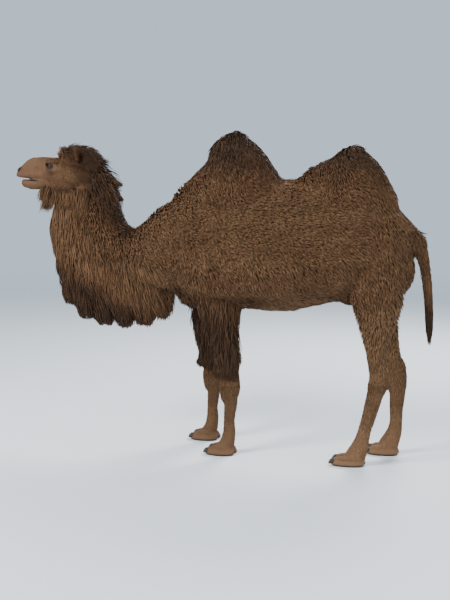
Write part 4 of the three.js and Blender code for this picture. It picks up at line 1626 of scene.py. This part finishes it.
def hair_material(name, root_shade_to_bleached_tip, streaks):
    """Each lock is streaked along its length, darkened towards the root by painted shade, as if shaded deep
    in the coat, and bleached paler at the tip.
    """
    nodes = Nodes(name)
    along, rand = nodes.number("along"), nodes.number("rand")
    color = wool(nodes)
    strand = nodes.add("ShaderNodeCombineXYZ")
    nodes.put(strand.inputs[0], nodes.times(nodes.number("across"), 3.2))
    nodes.put(strand.inputs[1], nodes.times(along, 1.5))
    nodes.put(strand.inputs[2], nodes.times(rand, 60.0))
    fibres = nodes.noise(strand.outputs[0], 2.2, 2.0)
    # painted shade: each lock is darker towards its root, where it lies deep in the coat, and paler at its
    # bleached tip
    depth_shade = nodes.grey(along, *zip((0.0, 0.45, 1.0), root_shade_to_bleached_tip))
    each = nodes.plus(nodes.times(rand, 0.40), 0.80)
    streak = nodes.grey(fibres, (0.30, streaks[0]), (0.52, 1.0), (0.72, streaks[1]))
    value = nodes.times(nodes.times(depth_shade, each), streak)
    tint = nodes.add("ShaderNodeHueSaturation")
    nodes.put(tint.inputs["Value"], value)
    nodes.put(tint.inputs["Color"], color)
    nodes.bump(fibres, 0.7, 0.003)
    return nodes.finish(tint.outputs[0], 0.66, sheen=0.04, tint=(0.9, 0.7, 0.5), gloss=0.13)


def skin_material():
    """Short flat hair as fine streaks along the coat's lie, and bare hide where nothing grows."""
    nodes = Nodes("hide")
    place = nodes.object_place()
    naps = []
    for squeeze in ((1.0, 0.20, 1.0), (1.0, 1.0, 0.20)):
        stretch = nodes.add("ShaderNodeVectorMath", operation="MULTIPLY")
        nodes.put(stretch.inputs[0], place)
        nodes.put(stretch.inputs[1], squeeze)
        naps.append(nodes.noise(stretch.outputs[0], 620.0, 2.0))
    nap = nodes.blend(nodes.number("steep"), *naps)
    creases = nodes.noise(place, 85.0, 4.0, 0.6)
    # the bare hide's own mottling, with painted shade: darker where the creases' bump is low, in the creases
    leather_and_crease_shade = nodes.ramp(creases, [(0.35, (0.010, 0.0066, 0.0052)), (0.70, (0.040, 0.025, 0.019))])
    fur = wool(nodes)
    fur = nodes.blend(1.0, fur, nodes.grey(nap, (0.34, 0.60), (0.66, 1.05)), "MULTIPLY")
    bare = nodes.number("bare")
    color = nodes.blend(bare, fur, leather_and_crease_shade)
    height = nodes.times(nap, nodes.math("SUBTRACT", 1.0, bare))
    height = nodes.plus(height, nodes.times(creases, bare))
    nodes.bump(height, 0.55, 0.0022)
    return nodes.finish(color, nodes.grey(bare, (0, 0.75), (1, 0.55)), gloss=0.22)


def eye_material():
    """A dark brown iris with a level, long pupil behind a wet cornea."""
    nodes = Nodes("eye")
    a, b = nodes.number("level"), nodes.number("upright")
    radius = nodes.radius(a, b)
    pupil = nodes.radius(nodes.times(a, 1.9), nodes.times(b, 4.3))
    rays = nodes.add("ShaderNodeCombineXYZ")
    nodes.put(rays.inputs[0], nodes.times(nodes.math("ARCTAN2", b, a), 6.0))
    nodes.put(rays.inputs[1], radius)
    spokes = nodes.noise(rays.outputs[0], 2.5, 3.0)
    iris = nodes.ramp(spokes, [(0.30, (0.014, 0.0056, 0.0022)), (0.75, (0.060, 0.024, 0.008))])
    edge = nodes.grey(radius, (0.62, 0.0), (0.70, 1.0))
    color = nodes.blend(edge, iris, (0.012, 0.006, 0.004, 1))
    white = nodes.grey(radius, (0.80, 0.0), (0.88, 1.0))
    color = nodes.blend(white, color, (0.080, 0.046, 0.034, 1))
    color = nodes.blend(nodes.grey(pupil, (0.90, 1.0), (1.0, 0.0)), color, (0.001, 0.001, 0.001, 1))
    nodes.shader.inputs["Coat Weight"].default_value = 0.25
    nodes.shader.inputs["Coat Roughness"].default_value = 0.04
    return nodes.finish(color, nodes.grey(radius, (0.0, 0.20), (1.0, 0.32)), gloss=0.12)


def nail_material():
    """Horn with growth rings, paler where it is worn at the tip."""
    nodes = Nodes("nail")
    place = nodes.object_place()
    along = nodes.number("along")
    rings = nodes.times(along, 46.0)
    rings = nodes.math("SINE", nodes.plus(rings, nodes.times(nodes.noise(place, 70.0), 5.0)))
    grain = nodes.noise(place, 240.0, 3.0)
    horn = [(0.0, (0.012, 0.008, 0.006)), (0.55, (0.024, 0.016, 0.011)), (1.0, (0.060, 0.041, 0.028))]
    base = nodes.ramp(along, horn)
    color = nodes.blend(1.0, base, nodes.grey(grain, (0.3, 0.6), (0.7, 1.15)), "MULTIPLY")
    nodes.bump(nodes.plus(nodes.times(rings, 0.25), grain), 0.35, 0.0012)
    return nodes.finish(color, nodes.grey(grain, (0.3, 0.42), (0.7, 0.60)), gloss=0.35)


def bare_of(p):
    """1 where the skin shows without hair: lips, nostrils, eyelids, soles."""
    y, z = p[:, 1], p[:, 2]
    lips = smooth(0.013, 0.006, np.abs(z - mouth_line(y))) * smooth(NOSE + 0.20, NOSE + 0.16, y)
    eye = np.linalg.norm(on_left(p) - EYE, axis=1)
    lid = smooth(EYE_R + 0.0062, EYE_R + 0.0040, eye)
    nostril = np.linalg.norm((on_left(p) - NOSTRIL) / [0.018, 0.016, 0.022], axis=1)
    return np.clip(np.maximum.reduce([lips, lid, smooth(1.0, 0.6, nostril), smooth(0.016, 0.008, z)]), 0, 1)


steep = smooth(0.55, 0.85, np.abs(lie(skin_co, skin_normals)[:, 2]))
give(skin, tone=tone_of(skin_co), bare=bare_of(skin_co), steep=steep)
skin.data.materials.append(skin_material())
EYE_MATERIAL, NAIL_MATERIAL = eye_material(), nail_material()
# the first triple of each is painted shade at the locks' roots, rising to a paler bleached tip
HAIR_MATERIAL = hair_material("hair", (0.40, 0.85, 1.25), (0.55, 1.40))
SHORT_MATERIAL = hair_material("short_hair", (0.82, 0.95, 1.12), (0.82, 1.15))
pairs = (EYEBALLS, EYE_MATERIAL), (HORN, NAIL_MATERIAL), (HAIR, HAIR_MATERIAL), (SHORT, SHORT_MATERIAL)
for pieces, material in pairs:
    for piece in pieces:
        piece.data.materials.append(material)
